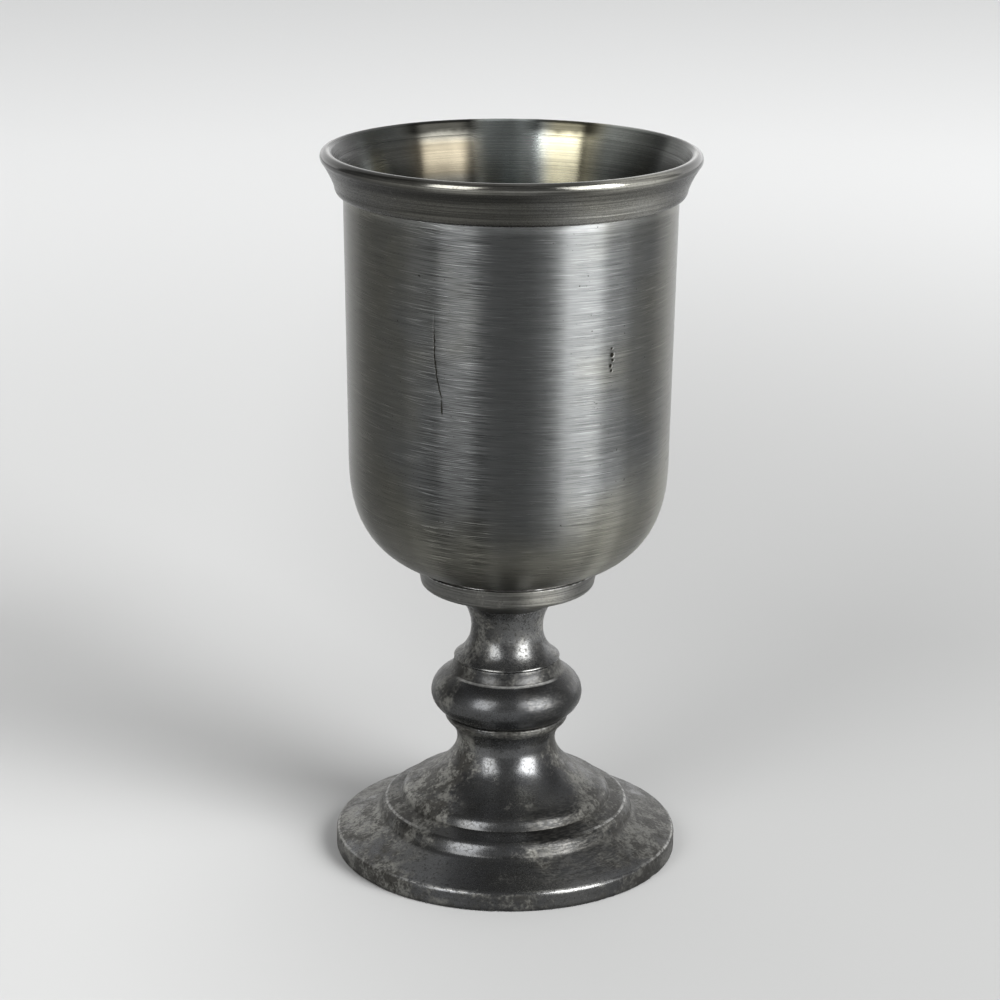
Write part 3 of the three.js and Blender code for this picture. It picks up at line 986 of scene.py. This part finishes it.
def inside_tone(wiring, height, cosine, clouds):
    """Painted light and shade on the inside under the rim: two bright patches, left and right of the middle,
    where the softboxes reflect. They are painted darker at their top and sit in metal painted darker around
    them. It fades to an even tone deep down."""
    # Painted light and shade round the left half, which shape the reflection patch there
    left = wiring.ease(cosine, -0.18, -0.26, wiring.ease(height, 150, 157, 1.1, 1.8),
                       wiring.ease(height, 146, 155, 0.11, 0.23))
    left = changes(wiring, left, cosine, INSIDE_LEFT)
    beside = wiring.ease(cosine, -0.57, -0.62, 0.2, wiring.ease(height, 146, 155, 0.2, 0.3))
    left = wiring.ease(cosine, -0.53, -0.57, left, beside)
    left = wiring.times(left, wiring.ease(cosine, -0.7, -0.92, 1.0, 0.2))
    # Painted shade in a band round height 153.8 on the right, not wear
    worn = wiring.ease(wiring.off(height, 153.8), 2, 5.5, 0.62, 1.08)
    right = changes(wiring, wiring.ease(cosine, 0.12, 0.24, 1.0, worn), cosine, INSIDE_RIGHT)
    # Painted shade over the top of both reflection patches
    patches = wiring.ease(wiring.off(wiring.off(cosine, -0.05), 0.36), 0.27, 0.15)
    upper = wiring.ease(wiring.add(height, wiring.times(clouds, 3.0)), 159.4, 161.4, 0.0, 0.86)
    tone = wiring.times(left, right, wiring.minus(1.0, wiring.times(patches, upper)))
    return wiring.ease(height, *TONES_FADE, 0.6, tone)


def bowl_inside(colours):
    """The bowl's inside: smooth and tarnished, with painted reflections of the softboxes as patches under the
    rim, painted shade around them, and a painted highlight at its near edge.
    """
    finish, wiring, metal = new_finish("bowl_inside", 1.0)
    lathe, position, height = lathe_and_place(wiring)
    cosine, sine, _ = wiring.parts(lathe)
    lines = wiring.placed(turning_lines(), Lathe=lathe, Along=0.9, Across=2.4, Slant=0.1)["Lines"]
    clouds = wiring.noise(position, 160.0, 4.0, 0.65)
    base = inside_tarnish(wiring, height, cosine, clouds, colours)
    base = wiring.shade(base, inside_tone(wiring, height, cosine, clouds))
    base = wiring.shade(base, wiring.ease(clouds, 0.3, 0.7, 0.9, 1.08))
    base = wiring.shade(base, wiring.ease(lines, 0.3, 0.7, 0.9, 1.1))
    # Painted highlight along the near inner edge, in bright metal
    crest = wiring.times(wiring.ease(height, *CREST, 0.0, 0.7), wiring.ease(sine, 0.1, -0.1))
    wiring.feed(metal["Base Color"], wiring.tint(crest, base, colours.bright))
    wiring.feed(metal["Roughness"], wiring.ease(lines, 0.3, 0.7, 0.29, 0.26))
    wiring.feed(metal["Normal"], wiring.bump(strength=0.2, depth=0.02 * MM, height=lines))
    return finish


class Patina(NamedTuple):
    """How a dark piece has aged: share of brown metal, its tone, roughness of the polish, how the grain
    spreads the light, turning lines and how many there are in a mm, pits, dark specks, cover of oxide, how
    much less of it there is in front, scuffs, and wear of the arrises."""
    warm: float
    tone: float
    polish: float
    grain: float
    lines: float
    across: float
    pits: float
    specks: float
    oxide: float
    front: float
    scuff: float = 0.0
    wear: float = 0.0


LIP_PATINA = Patina(warm=0.9, tone=0.8, polish=0.22, grain=0.2, lines=1.3, across=4.0, pits=0.15, specks=0.25,
                    oxide=0.1, front=0.1)
SEAT_PATINA = Patina(warm=0.8, tone=1.2, polish=0.38, grain=0.6, lines=1.3, across=3.4, pits=0.3, specks=0.2,
                     oxide=0.15, front=0.0)
STEM_PATINA = Patina(warm=0.3, tone=1.2, polish=0.25, grain=0.1, lines=0.1, across=2.0, pits=1.0, specks=0.7,
                     oxide=0.45, front=0.25, scuff=0.4)
KNOP_PATINA = Patina(warm=0.2, tone=0.82, polish=0.27, grain=0.1, lines=0.1, across=2.0, pits=0.5, specks=0.4,
                     oxide=0.4, front=0.4, scuff=0.6)
FOOT_PATINA = Patina(warm=0.25, tone=1.0, polish=0.23, grain=0.1, lines=0.15, across=1.6, pits=0.6,
                     specks=0.5, oxide=0.66, front=0.6, scuff=1.0, wear=0.1)

# Heights over which the lip's crest begins
CREST = (161.3, 161.42)


class Zones(Wiring):
    """Where one piece is marked more than the rest, and where light and shade are painted on it. Shares are
    of the radius. A subclass names the heights at which its zones lie, or from which height to which they
    begin."""

    def __init__(self, tree, position):
        super().__init__(tree)
        x, y, z = self.parts(position)
        self.right = self.times(x, 1 / MM)
        self.forward = self.times(y, -1 / MM)
        self.height = self.times(z, 1 / MM)
        flat = self.node("ShaderNodeCombineXYZ", {0: x, 1: y}).outputs[0]
        self.radius = self.times(self.length(flat), 1 / MM)
        self.share_right = self.math("DIVIDE", self.right, self.radius)
        self.share_front = self.math("DIVIDE", self.forward, self.radius)
        self.broken = self.ease(self.noise(position, 700.0, 4.0, 0.7), 0.38, 0.6)

    def by_height(self, heights, start=0.0, end=1.0):
        """Goes smoothly from start to end over a pair of heights."""
        return self.ease(self.height, *heights, start, end)

    def across(self, low, high, start=0.0, end=1.0):
        """Goes smoothly from start to end over a stretch of the share to the right."""
        return self.ease(self.share_right, low, high, start, end)

    def line(self, value, middle, half):
        """A line where the value is near its middle."""
        return self.ease(self.off(value, middle), half, 0.3 * half)

    def front(self):
        """The front, where hands keep the metal clean: further round on the right than on the left. The paler
        oxide that this leaves at the sides also partly paints the reflection of the pale surroundings there.
        """
        low = self.across(-0.25, 0.25, 0.62, 0.36)
        high = self.across(-0.25, 0.25, 0.97, 0.85)
        return self.ease(self.share_front, low, high)

    def front_right(self):
        """The front right, where the piece was handled."""
        return self.times(self.across(0.08, 0.3), self.ease(self.share_front, 0.4, 0.7))

    def paler(self):
        """Painted light and shade on the polished metal, as a factor on its tone."""
        return 1.0

    def dulled(self):
        """Painted shade on the metal and its oxide, as a factor on its tone."""
        return 1.0

    def smoother(self):
        """Share of the roughness that is left."""
        return 1.0

    def more_oxide(self):
        """What is added to the cover of oxide."""
        return 0.0

    def scuffed(self):
        """Where the piece is scuffed."""
        return self.front_right()

    def ridge(self):
        """Ridges tinted bright: rubbed arrises, and painted highlights where the softboxes reflect."""
        return 0.0


class LipZones(Zones):
    """Painted light: the lip is paler on its right, most of all in a painted highlight along the front of the
    roll, and darker at its ends. The roll is smooth, with a painted highlight left of the middle and another
    along the inner edge. Painted shade darkens the flare under the roll, and the quarter round is painted
    darker in the middle and paler on the right."""

    ROLL = (158.8, 159.4)
    ROLL_RIGHT = (158.8, 159.6)
    ROLL_SMOOTH = (158.9, 159.6)
    FLARE = 158.2
    QUARTER = (157, 155.5)
    INNER_EDGE_RADII = (40.2, 40.0)

    def paler(self):
        # Painted light: the right side and the front of the roll paler, highlights left of and at the middle
        # of the roll, darker ends
        roll = self.times(self.ease(self.right, 12, 24, 1.25, 4.8), self.ease(self.forward, 10, 25, 0.3, 1.0))
        right = self.ease(self.right, 0, 20, 1.0, self.by_height(self.ROLL_RIGHT, 2.7, roll))
        left = self.times(self.line(self.right, -11.5, 9), self.by_height(self.ROLL, 0.0, 1.4))
        middle = self.times(self.line(self.right, 1, 8), self.by_height(self.ROLL, 0.0, 0.4))
        ends = self.times(self.ease(self.right, -27, -37, 1.0, 0.65), self.ease(self.right, 27, 37, 1.0, 0.2))
        return self.times(right, self.add(left, middle, 1.0), ends)

    def dulled(self):
        # Painted shade under the roll, and painted light and shade on the quarter round
        flare = self.line(self.height, self.FLARE, 1.8)
        flare = self.times(flare, self.ease(self.right, -5, 15, -0.65, -0.36))
        quarter = self.ease(self.right, 4, 18, self.ease(self.right, -14, -4, -0.1, -0.3), 0.26)
        return self.add(flare, self.times(self.by_height(self.QUARTER), quarter), 1.0)

    def smoother(self):
        return self.by_height(self.ROLL_SMOOTH, 1.0, 0.54)

    def ridge(self):
        # Painted highlight along the inner edge of the roll
        inner = self.ease(self.radius, *self.INNER_EDGE_RADII)
        return self.times(inner, self.by_height(CREST, 0.0, 0.6))


class SeatZones(Zones):
    """The seat has a painted highlight on its right and painted shade underneath, and is rubbed along its rim
    at the sides.
    """

    UNDERSIDE = (63.4, 62.9)
    RIM = 67.45

    def paler(self):
        # Painted highlight on the right
        return self.add(self.line(self.share_right, 0.45, 0.4), 1.0)

    def dulled(self):
        # Painted shade under the seat
        return self.by_height(self.UNDERSIDE, 1.0, 0.35)

    def ridge(self):
        rim = self.line(self.height, self.RIM, 0.3)
        return self.times(rim, self.ease(self.share_front, 0.96, 0.85), self.broken, 0.6)


class StemZones(Zones):
    """The stem's neck is painted darker on the left and paler on the right. Its bell has painted shade at
    both sides, a painted highlight left of the middle, and painted highlights in two places along the front
    of its edge, where the softboxes reflect."""

    NECK = (50, 52)
    BELL = (52, 49)
    BELL_RUBBED = (51, 49)
    BELL_EDGE = 45.95

    def paler(self):
        # Painted light: the neck darker on the left and paler on the right, and a painted highlight on the
        # bell left of the middle
        left = self.by_height(self.NECK, 0.95, 0.5)
        right = self.by_height(self.NECK, 1.0, 1.6)
        painted_sheen = self.by_height(self.BELL_RUBBED, 0.0, 0.2)
        painted_sheen = self.times(self.line(self.share_right, -0.35, 0.3), painted_sheen)
        return self.add(self.across(-0.6, 0.6, left, right), painted_sheen)

    def dulled(self):
        # Painted shade at both sides of the bell
        left = self.across(-0.2, -0.9, 1.0, self.by_height(self.BELL, 0.55, 0.8))
        right = self.across(0.42, 0.7, 1.0, self.by_height(self.BELL, 1.0, 0.55))
        return self.times(left, right)

    def ridge(self):
        # Two painted highlights along the front of the bell's edge
        places = self.add(self.line(self.right, -3.2, 3.0), self.line(self.right, 5.6, 2.6))
        edge = self.line(self.height, self.BELL_EDGE, 0.28)
        return self.times(edge, places, self.ease(self.forward, 0, 3, 0.0, 0.9))


class KnopZones(Zones):
    """The knop has painted shade at its sides, on its right, where it dims the highlight, and a little
    underneath. The band above the cushion is oxidised and painted darker, with a painted highlight along its
    lower edge in front."""

    CREASE = 42.65
    BAND = (42.5, 42.9)
    UNDERSIDE = (36.5, 34.5)

    def dulled(self):
        # Painted shade on the band, the sides, the right and the underside
        band = self.by_height(self.BAND, 1.0, self.ease(self.right, 0, 7, 0.65, 0.85))
        sides = self.ease(self.off(self.share_right), 0.55, 0.85, 1.0, 0.6)
        right = self.across(0.15, 0.4, 1.0, 0.75)
        return self.times(band, sides, right, self.by_height(self.UNDERSIDE, 1.0, 0.9))

    def more_oxide(self):
        return self.by_height(self.BAND, 0.0, 0.35)

    def ridge(self):
        # Painted highlight along the crease in front
        crease = self.times(self.line(self.height, self.CREASE, 0.25), self.ease(self.share_front, 0.45, 0.8))
        return self.times(crease, self.ease(self.broken, 0.0, 1.0, 0.65, 1.0))


class FootZones(Zones):
    """Painted shade darkens the foot's right side, its upright edge, most of all where it stands on the
    table, and the top of its fillet ring. It also darkens the shoulder and step on the front right and the
    step on the far left. Painted highlights make the rim's slope paler beside the middle, and the trumpet's
    neck at its top and left. Oxide lies on the ring, the edge and the scuffed front right. The step is rubbed
    at the sides and the rim all round, and painted highlights lie on the rim in two places in front."""

    UPRIGHT = (4.4, 3.8)
    ON_TABLE = (1.2, 0.2)
    RIM = 4.3
    SLOPE = (9, 7.5)
    STEP = 11.5
    STEP_EDGE = 11.3
    SHOULDER_AND_STEP = 12
    SCUFFS = ((4.6, 5.4), (17.5, 15.0))
    NECK = (20, 23)
    NECK_TOP = (25, 28)
    RING = (29.6, 30.4)
    RING_TOP = (31.6, 31.95)

    def paler(self):
        # Painted highlights on the rim's slope beside the middle and on the trumpet's neck
        slope = self.ease(self.off(self.share_right), 0.1, 0.35, 1.05, 1.6)
        top = self.times(self.by_height(self.NECK_TOP, 0.0, 0.5), self.across(-0.3, 0.1))
        left = self.times(self.by_height(self.NECK, 0.0, 0.4), self.line(self.share_right, -0.45, 0.25))
        return self.add(self.by_height(self.SLOPE, 1.0, slope), top, left)

    def dulled(self):
        # Painted shade: the sides, the upright edge with a painted contact shadow on the table, the ring's
        # top and the highlights on the front right
        step = self.ease(self.line(self.height, self.STEP, 3.0), 0.0, 1.0, 1.0, 0.65)
        sides = self.times(self.across(0.4, 0.8, 1.0, 0.5), self.across(-0.4, -0.8, 1.0, step))
        upright = self.by_height(self.ON_TABLE, 0.62, 0.3)
        upright = self.by_height(self.UPRIGHT, 1.0, upright)
        ring = self.by_height(self.RING_TOP, 1.0, 0.3)
        dark = self.times(self.between(self.share_right, (0.1, 0.3), (0.75, 0.6)),
                          self.ease(self.share_front, 0.4, 0.7, 0.0, 0.62),
                          self.line(self.height, self.SHOULDER_AND_STEP, 4.5))
        return self.times(sides, upright, ring, self.minus(1.0, dark))

    def more_oxide(self):
        ring = self.by_height(self.RING, 0.0, 0.5)
        return self.add(ring, self.times(self.scuffed(), 0.24), self.by_height(self.UPRIGHT, 0.0, 0.3))

    def scuffed(self):
        return self.times(self.front_right(), self.between(self.height, *self.SCUFFS))

    def ridge(self):
        step = self.times(self.line(self.height, self.STEP_EDGE, 0.22), self.ease(self.forward, 23, 17),
                          self.ease(self.radius, 26, 27, 0.0, 0.45))
        # Two painted highlights along the front of the rim; elsewhere the rim is rubbed
        front = self.add(self.line(self.right, -16, 12), self.line(self.right, 15, 10))
        rim = self.times(self.line(self.height, self.RIM, 0.24),
                         self.ease(self.forward, 15, 30, 0.35, self.times(front, 0.9)))
        return self.times(self.add(step, rim), self.ease(self.broken, 0.0, 1.0, 0.15, 1.0))


def dark_pewter(name, colours, patina, zones_of):
    """Dark polished pewter, oxidised away from the front, scuffed at the front right, bright on arrises, with
    the painted light and shade of its zones.
    """
    finish, wiring, metal = new_finish(name, patina.grain)
    lathe, position, _ = lathe_and_place(wiring)
    zones = zones_of(wiring.tree, position)
    lines = wiring.placed(turning_lines(), Lathe=lathe, Along=1.3, Across=patina.across, Slant=0.2)["Lines"]
    strokes = wiring.placed(turning_lines(), Lathe=lathe, Along=14.0, Across=2.4, Slant=1.5)["Lines"]
    clean = wiring.times(zones.front(), patina.front)
    cover = wiring.add(wiring.minus(patina.oxide, clean), zones.more_oxide())
    mottle = wiring.placed(oxide_mottle(), Position=position, Cover=cover)
    oxide = mottle["Oxide"]
    edge = wiring.attribute("edge")["Fac"]
    wear = wiring.placed(edge_wear(), Position=position, Edge=edge, Amount=patina.wear)["Wear"]
    # Ridges add painted highlights as well as rubbed arrises
    wear = wiring.larger(wear, zones.ridge())
    # The hollows of the outline are darkened
    hollow_darkening = wiring.attribute("hollow")["Fac"]
    scuffed = wiring.times(zones.scuffed(), patina.scuff)
    streaks = wiring.times(scuffed, wiring.ease(strokes, 0.42, 0.64))
    # Between the scuff strokes the metal is darkened: scuff marks that also paint shade over the highlights
    # on the front right
    between = wiring.times(scuffed, wiring.ease(strokes, 0.62, 0.44))
    pits = wiring.noise(position, 1600.0, 3.0, 0.65)

    clouds = wiring.noise(position, 70.0, 3.0, 0.6)
    warmth = wiring.ease(clouds, 0.3, 0.7, patina.warm - 0.2, patina.warm + 0.2)
    base = wiring.tint(warmth, colours.dark, colours.brown)
    low, high = patina.tone * (1.0 - 0.35 * patina.lines), patina.tone * (1.0 + 0.35 * patina.lines)
    # Tone with the zones' painted light and shade
    base = wiring.shade(base, wiring.times(wiring.ease(lines, 0.3, 0.7, low, high), zones.paler()))
    pale = wiring.times(mottle["Pale"], wiring.ease(zones.share_front, -0.5, 0.2, 0.55, 1.0))
    base = wiring.tint(oxide, base, wiring.tint(pale, colours.oxide, colours.pale))
    # Painted shade of the zones, and darker metal between scuff strokes
    base = wiring.shade(base, wiring.times(wiring.mix(between, 1.0, 0.5), zones.dulled()))
    base = wiring.tint(wiring.times(streaks, 0.4), base, colours.oxide)
    specks = wiring.times(wiring.ease(pits, 0.53, 0.63), patina.specks)
    spots = wiring.times(mottle["Spots"], wiring.mix(oxide, 0.4 * patina.specks, 0.85))
    grime = wiring.larger(wiring.larger(spots, specks), wiring.times(hollow_darkening, 0.6))
    base = wiring.tint(grime, base, colours.grime)
    wiring.feed(metal["Base Color"], wiring.tint(wear, base, colours.bright))
    wiring.feed(metal["Metallic"], wiring.mix(oxide, 0.88, 0.8))
    rough = wiring.add(wiring.mix(oxide, patina.polish, 0.46), wiring.times(lines, 0.08 * patina.lines),
                       wiring.times(scuffed, 0.1),
                       wiring.ease(pits, 0.45, 0.6, -0.04 * patina.pits, 0.11 * patina.pits))
    wiring.feed(metal["Roughness"], wiring.mix(wear, wiring.times(rough, zones.smoother()), 0.34))
    crust = wiring.times(pits, wiring.mix(oxide, 0.3 * patina.pits, 0.9 * patina.pits))
    relief = wiring.minus(wiring.add(wiring.times(lines, patina.lines), crust), wiring.times(streaks, 0.8))
    wiring.feed(metal["Normal"], wiring.bump(strength=0.35, depth=0.04 * MM, height=relief))
    return finish


def soft_solder(colours):
    """Satin solder, dulled here and there."""
    finish, wiring, metal = new_finish("soft_solder", 0.2)
    dull = wiring.ease(wiring.noise(wiring.position(), 300.0, 3.0, 0.6), 0.35, 0.65)
    wiring.feed(metal["Base Color"], wiring.tint(dull, colours.solder, colours.oxide))
    wiring.feed(metal["Roughness"], wiring.mix(dull, 0.32, 0.5))
    return finish


def pale_floor(stage):
    """A matt floor that grows paler away from the goblet, which keeps it evenly pale, and paler towards the
    left, which paints light into the goblet's shadow there.
    """
    finish = bpy.data.materials.new("pale_floor")
    finish.use_nodes = True
    wiring = Wiring(finish.node_tree)
    matt = finish.node_tree.nodes["Principled BSDF"].inputs
    position = wiring.position()
    far = wiring.ease(wiring.length(position), 0.15, 1.0)
    # Paler towards the left: painted light that lightens the goblet's shadow
    near = wiring.shade(stage.floor_near, wiring.ease(wiring.parts(position)[0], 0.02, -0.1, 1.0, 1.28))
    wiring.feed(matt["Base Color"], wiring.tint(far, near, stage.floor_far))
    wiring.feed(matt["Roughness"], 0.9)
    wiring.feed(matt["Specular IOR Level"], 0.1)
    return finish


# Operators

CRISP = 0.01 * MM
LIGHTLY_WORN = 0.07 * MM
UNDOABLE = {"REGISTER", "UNDO"}


class GOBLET_OT_bowl(bpy.types.Operator):
    """Turn the bowl, brushed outside and smooth inside"""
    bl_idname = "goblet.bowl"
    bl_label = "Bowl"
    bl_options = UNDOABLE

    def execute(self, context):
        goblet = context.scene.goblet
        turning = Turning(rows=230, sides=384, worn=CRISP)
        finishes = [brushed_pewter(goblet.colours), bowl_inside(goblet.colours)]
        turned_piece("turned_bowl", bowl_outline(goblet), turning, finishes, ["bowl"])
        return {"FINISHED"}


class GOBLET_OT_lip_band(bpy.types.Operator):
    """Turn the lip band"""
    bl_idname = "goblet.lip_band"
    bl_label = "Lip band"
    bl_options = UNDOABLE

    def execute(self, context):
        goblet = context.scene.goblet
        turning = Turning(rows=140, sides=384, worn=CRISP)
        outside = dark_pewter("lip_pewter", goblet.colours, LIP_PATINA, LipZones)
        finishes = [outside, bowl_inside(goblet.colours)]
        turned_piece("turned_lip_band", lip_outline(goblet), turning, finishes, ["lip_band"])
        return {"FINISHED"}


class GOBLET_OT_bowl_seat(bpy.types.Operator):
    """Turn the seat under the bowl"""
    bl_idname = "goblet.bowl_seat"
    bl_label = "Bowl seat"
    bl_options = UNDOABLE

    def execute(self, context):
        goblet = context.scene.goblet
        turning = Turning(rows=130, sides=288, worn=LIGHTLY_WORN)
        finishes = [dark_pewter("seat_pewter", goblet.colours, SEAT_PATINA, SeatZones)]
        outline = seat_outline(goblet)
        turned_piece("turned_bowl_seat", outline, turning, finishes, ["bowl_seat"])
        return {"FINISHED"}


class GOBLET_OT_stem(bpy.types.Operator):
    """Turn the stem with its neck, bell and tenons"""
    bl_idname = "goblet.stem"
    bl_label = "Stem"
    bl_options = UNDOABLE

    def execute(self, context):
        goblet = context.scene.goblet
        turning = Turning(rows=180, sides=224, worn=LIGHTLY_WORN)
        finishes = [dark_pewter("stem_pewter", goblet.colours, STEM_PATINA, StemZones)]
        turned_piece("turned_stem", stem_outline(goblet), turning, finishes, ["stem"])
        return {"FINISHED"}


class GOBLET_OT_knop(bpy.types.Operator):
    """Turn the knop with its band"""
    bl_idname = "goblet.knop"
    bl_label = "Knop"
    bl_options = UNDOABLE

    def execute(self, context):
        goblet = context.scene.goblet
        turning = Turning(rows=150, sides=256)
        finishes = [dark_pewter("knop_pewter", goblet.colours, KNOP_PATINA, KnopZones)]
        turned_piece("turned_knop", knop_outline(goblet), turning, finishes, ["knop"])
        return {"FINISHED"}


class GOBLET_OT_foot(bpy.types.Operator):
    """Turn the hollow stepped foot"""
    bl_idname = "goblet.foot"
    bl_label = "Foot"
    bl_options = UNDOABLE

    def execute(self, context):
        goblet = context.scene.goblet
        turning = Turning(rows=250, sides=384)
        finishes = [dark_pewter("foot_pewter", goblet.colours, FOOT_PATINA, FootZones)]
        turned_piece("turned_foot", foot_outline(goblet), turning, finishes, ["foot"])
        return {"FINISHED"}


class GOBLET_OT_solder_seams(bpy.types.Operator):
    """Run the five seams of soft solder"""
    bl_idname = "goblet.solder_seams"
    bl_label = "Solder seams"
    bl_options = UNDOABLE

    def execute(self, context):
        goblet = context.scene.goblet
        turning = Turning(rows=40, sides=192, worn=0.06 * MM)
        finish = soft_solder(goblet.colours)
        for node, outline in seam_outlines(goblet).items():
            turned_piece(node.replace("solder", "seam"), outline, turning, [finish], [node])
        return {"FINISHED"}


# Stage

class Softbox(NamedTuple):
    """A softbox as the goblet sees it, in degrees: azimuth from the front towards +X, elevation and size."""
    azimuth: float
    elevation: float
    width: float
    height: float


LEFT_SOFTBOX = Softbox(azimuth=-37.5, elevation=27, width=25, height=44)
RIGHT_SOFTBOX = Softbox(azimuth=51.5, elevation=24, width=31, height=44)
AIM = Vector((0, 0, 0.08))
SENSOR_WIDTH = 36.0
FLOOR_SIDES = 96
FLOOR_RINGS = 24
# Radiance of the surroundings at azimuths in degrees
HORIZON = ((-180, 1.0), (-128, 1.5), (-123, 0.28), (-95, 0.3), (-75, 0.5), (-60, 0.45), (-20, 0.25),
           (16, 0.25), (30, 0.4), (68, 1.5), (88, 1.15), (117, 0.5), (122, 2.3), (180, 1.2))


def add_softbox(name, box, glow, distance):
    """A rectangular lamp that faces the goblet. A lamp of P watts and area A has the radiance P / 4A."""
    width = 2 * distance * math.tan(math.radians(box.width / 2))
    height = 2 * distance * math.tan(math.radians(box.height / 2))
    lamp = bpy.data.lights.new(name, "AREA")
    lamp.shape = "RECTANGLE"
    lamp.size = width
    lamp.size_y = height
    lamp.energy = 4 * glow * width * height
    turn = Matrix.Rotation(math.radians(box.azimuth), 4, "Z")
    turn = turn @ Matrix.Rotation(math.radians(90 - box.elevation), 4, "X")
    holder = bpy.data.objects.new(name, lamp)
    holder.matrix_world = Matrix.Translation(AIM) @ turn @ Matrix.Translation((0, 0, distance))
    holder.visible_camera = False
    bpy.context.scene.collection.objects.link(holder)


def add_surroundings(stage):
    """A world whose horizon changes with the azimuth, from the front towards +X, and that is dim overhead."""
    world = bpy.data.worlds.new("surroundings")
    world.use_nodes = True
    bpy.context.scene.world = world
    wiring = Wiring(world.node_tree)
    x, y, z = wiring.parts(wiring.node("ShaderNodeTexCoord").outputs["Generated"])
    azimuth = wiring.math("ARCTAN2", x, wiring.times(y, -1.0))
    share = wiring.ease(azimuth, -math.pi, math.pi)
    share.node.interpolation_type = "LINEAR"
    ramp = wiring.node("ShaderNodeValToRGB", {"Fac": share})
    stops = ramp.color_ramp.elements
    for stop, (degrees, glow) in zip(stops, (HORIZON[0], HORIZON[-1])):
        stop.position, stop.color = (degrees + 180) / 360, (glow, glow, glow, 1.0)
    for degrees, glow in HORIZON[1:-1]:
        stops.new((degrees + 180) / 360).color = (glow, glow, glow, 1.0)
    overhead = wiring.ease(z, 0.1, 0.75)
    background = world.node_tree.nodes["Background"].inputs
    wiring.feed(background["Color"], ramp.outputs["Color"])
    wiring.feed(background["Strength"], wiring.mix(overhead, 1.0, stage.top_glow))


def add_floor(stage):
    """A flat round floor: rings of points at growing radii, joined by quads, with one point in the middle."""
    sides, rings = FLOOR_SIDES, FLOOR_RINGS
    turn = np.arange(sides) * (2 * math.pi / sides)
    radii = stage.floor_radius * np.linspace(0, 1, rings + 1)[1:] ** 2
    across, deep = np.outer(radii, np.cos(turn)), np.outer(radii, np.sin(turn))
    grid = np.stack([across, deep, np.zeros((rings, sides))], axis=-1)
    ring = np.arange(sides)
    following = (ring + 1) % sides
    inner = np.arange(rings - 1)[:, None] * sides
    outer = inner + sides
    quads = np.stack([inner + ring, outer + ring, outer + following, inner + following], axis=-1)
    fan = np.column_stack([np.full(sides, rings * sides), ring, following])
    mesh = bpy.data.meshes.new("floor")
    mesh.from_pydata(np.vstack([grid.reshape(-1, 3), np.zeros((1, 3))]).tolist(), [],
                     quads.reshape(-1, 4).tolist() + fan.tolist())
    mesh.materials.append(pale_floor(stage))
    floor = bpy.data.objects.new("floor", mesh)
    bpy.context.scene.collection.objects.link(floor)


def add_camera(stage):
    """A camera in front of the goblet that looks a little down on it."""
    camera = bpy.data.cameras.new("camera")
    camera.sensor_width = SENSOR_WIDTH
    camera.lens = stage.lens
    holder = bpy.data.objects.new("camera", camera)
    turn = Matrix.Rotation(-stage.yaw, 4, "Z") @ Matrix.Rotation(math.pi / 2 - stage.pitch, 4, "X")
    turn = turn @ Matrix.Rotation(stage.roll, 4, "Z")
    holder.matrix_world = Matrix.Translation((0, -stage.camera_back, stage.camera_up)) @ turn
    bpy.context.scene.collection.objects.link(holder)
    bpy.context.scene.camera = holder


class GOBLET_OT_stage(bpy.types.Operator):
    """Set up the floor, softboxes, surroundings and camera"""
    bl_idname = "goblet.stage"
    bl_label = "Stage"
    bl_options = UNDOABLE

    def execute(self, context):
        stage = context.scene.goblet.stage
        add_floor(stage)
        add_surroundings(stage)
        add_softbox("left_softbox", LEFT_SOFTBOX, stage.left_glow, stage.lamp_distance)
        add_softbox("right_softbox", RIGHT_SOFTBOX, stage.right_glow, stage.lamp_distance)
        add_camera(stage)
        context.scene.view_settings.view_transform = "Standard"
        return {"FINISHED"}


OPERATORS = (GOBLET_OT_bowl, GOBLET_OT_lip_band, GOBLET_OT_bowl_seat, GOBLET_OT_stem, GOBLET_OT_knop,
             GOBLET_OT_foot, GOBLET_OT_solder_seams, GOBLET_OT_stage)


class GOBLET_PT_panel(bpy.types.Panel):
    """Lists the goblet's operators in the 3D view's sidebar."""
    bl_label = "Goblet"
    bl_space_type = "VIEW_3D"
    bl_region_type = "UI"
    bl_category = "Goblet"

    def draw(self, context):
        for operator in OPERATORS:
            self.layout.operator(operator.bl_idname)


CLASSES = (BowlShape, LipBandShape, BowlSeatShape, StemShape, KnopShape, FootShape, FinishColours,
           StageSettings, GobletSettings, *OPERATORS, GOBLET_PT_panel)


def register():
    """Registers the settings, operators and panel."""
    for cls in CLASSES:
        bpy.utils.register_class(cls)
    bpy.types.Scene.goblet = PointerProperty(type=GobletSettings)


def unregister():
    """Takes back what register did."""
    del bpy.types.Scene.goblet
    for cls in reversed(CLASSES):
        bpy.utils.unregister_class(cls)


def main():
    """Builds the goblet on its stage."""
    register()
    bpy.ops.goblet.bowl()
    bpy.ops.goblet.lip_band()
    bpy.ops.goblet.bowl_seat()
    bpy.ops.goblet.stem()
    bpy.ops.goblet.knop()
    bpy.ops.goblet.foot()
    bpy.ops.goblet.solder_seams()
    bpy.ops.goblet.stage()


if __name__ == "__main__":
    main()
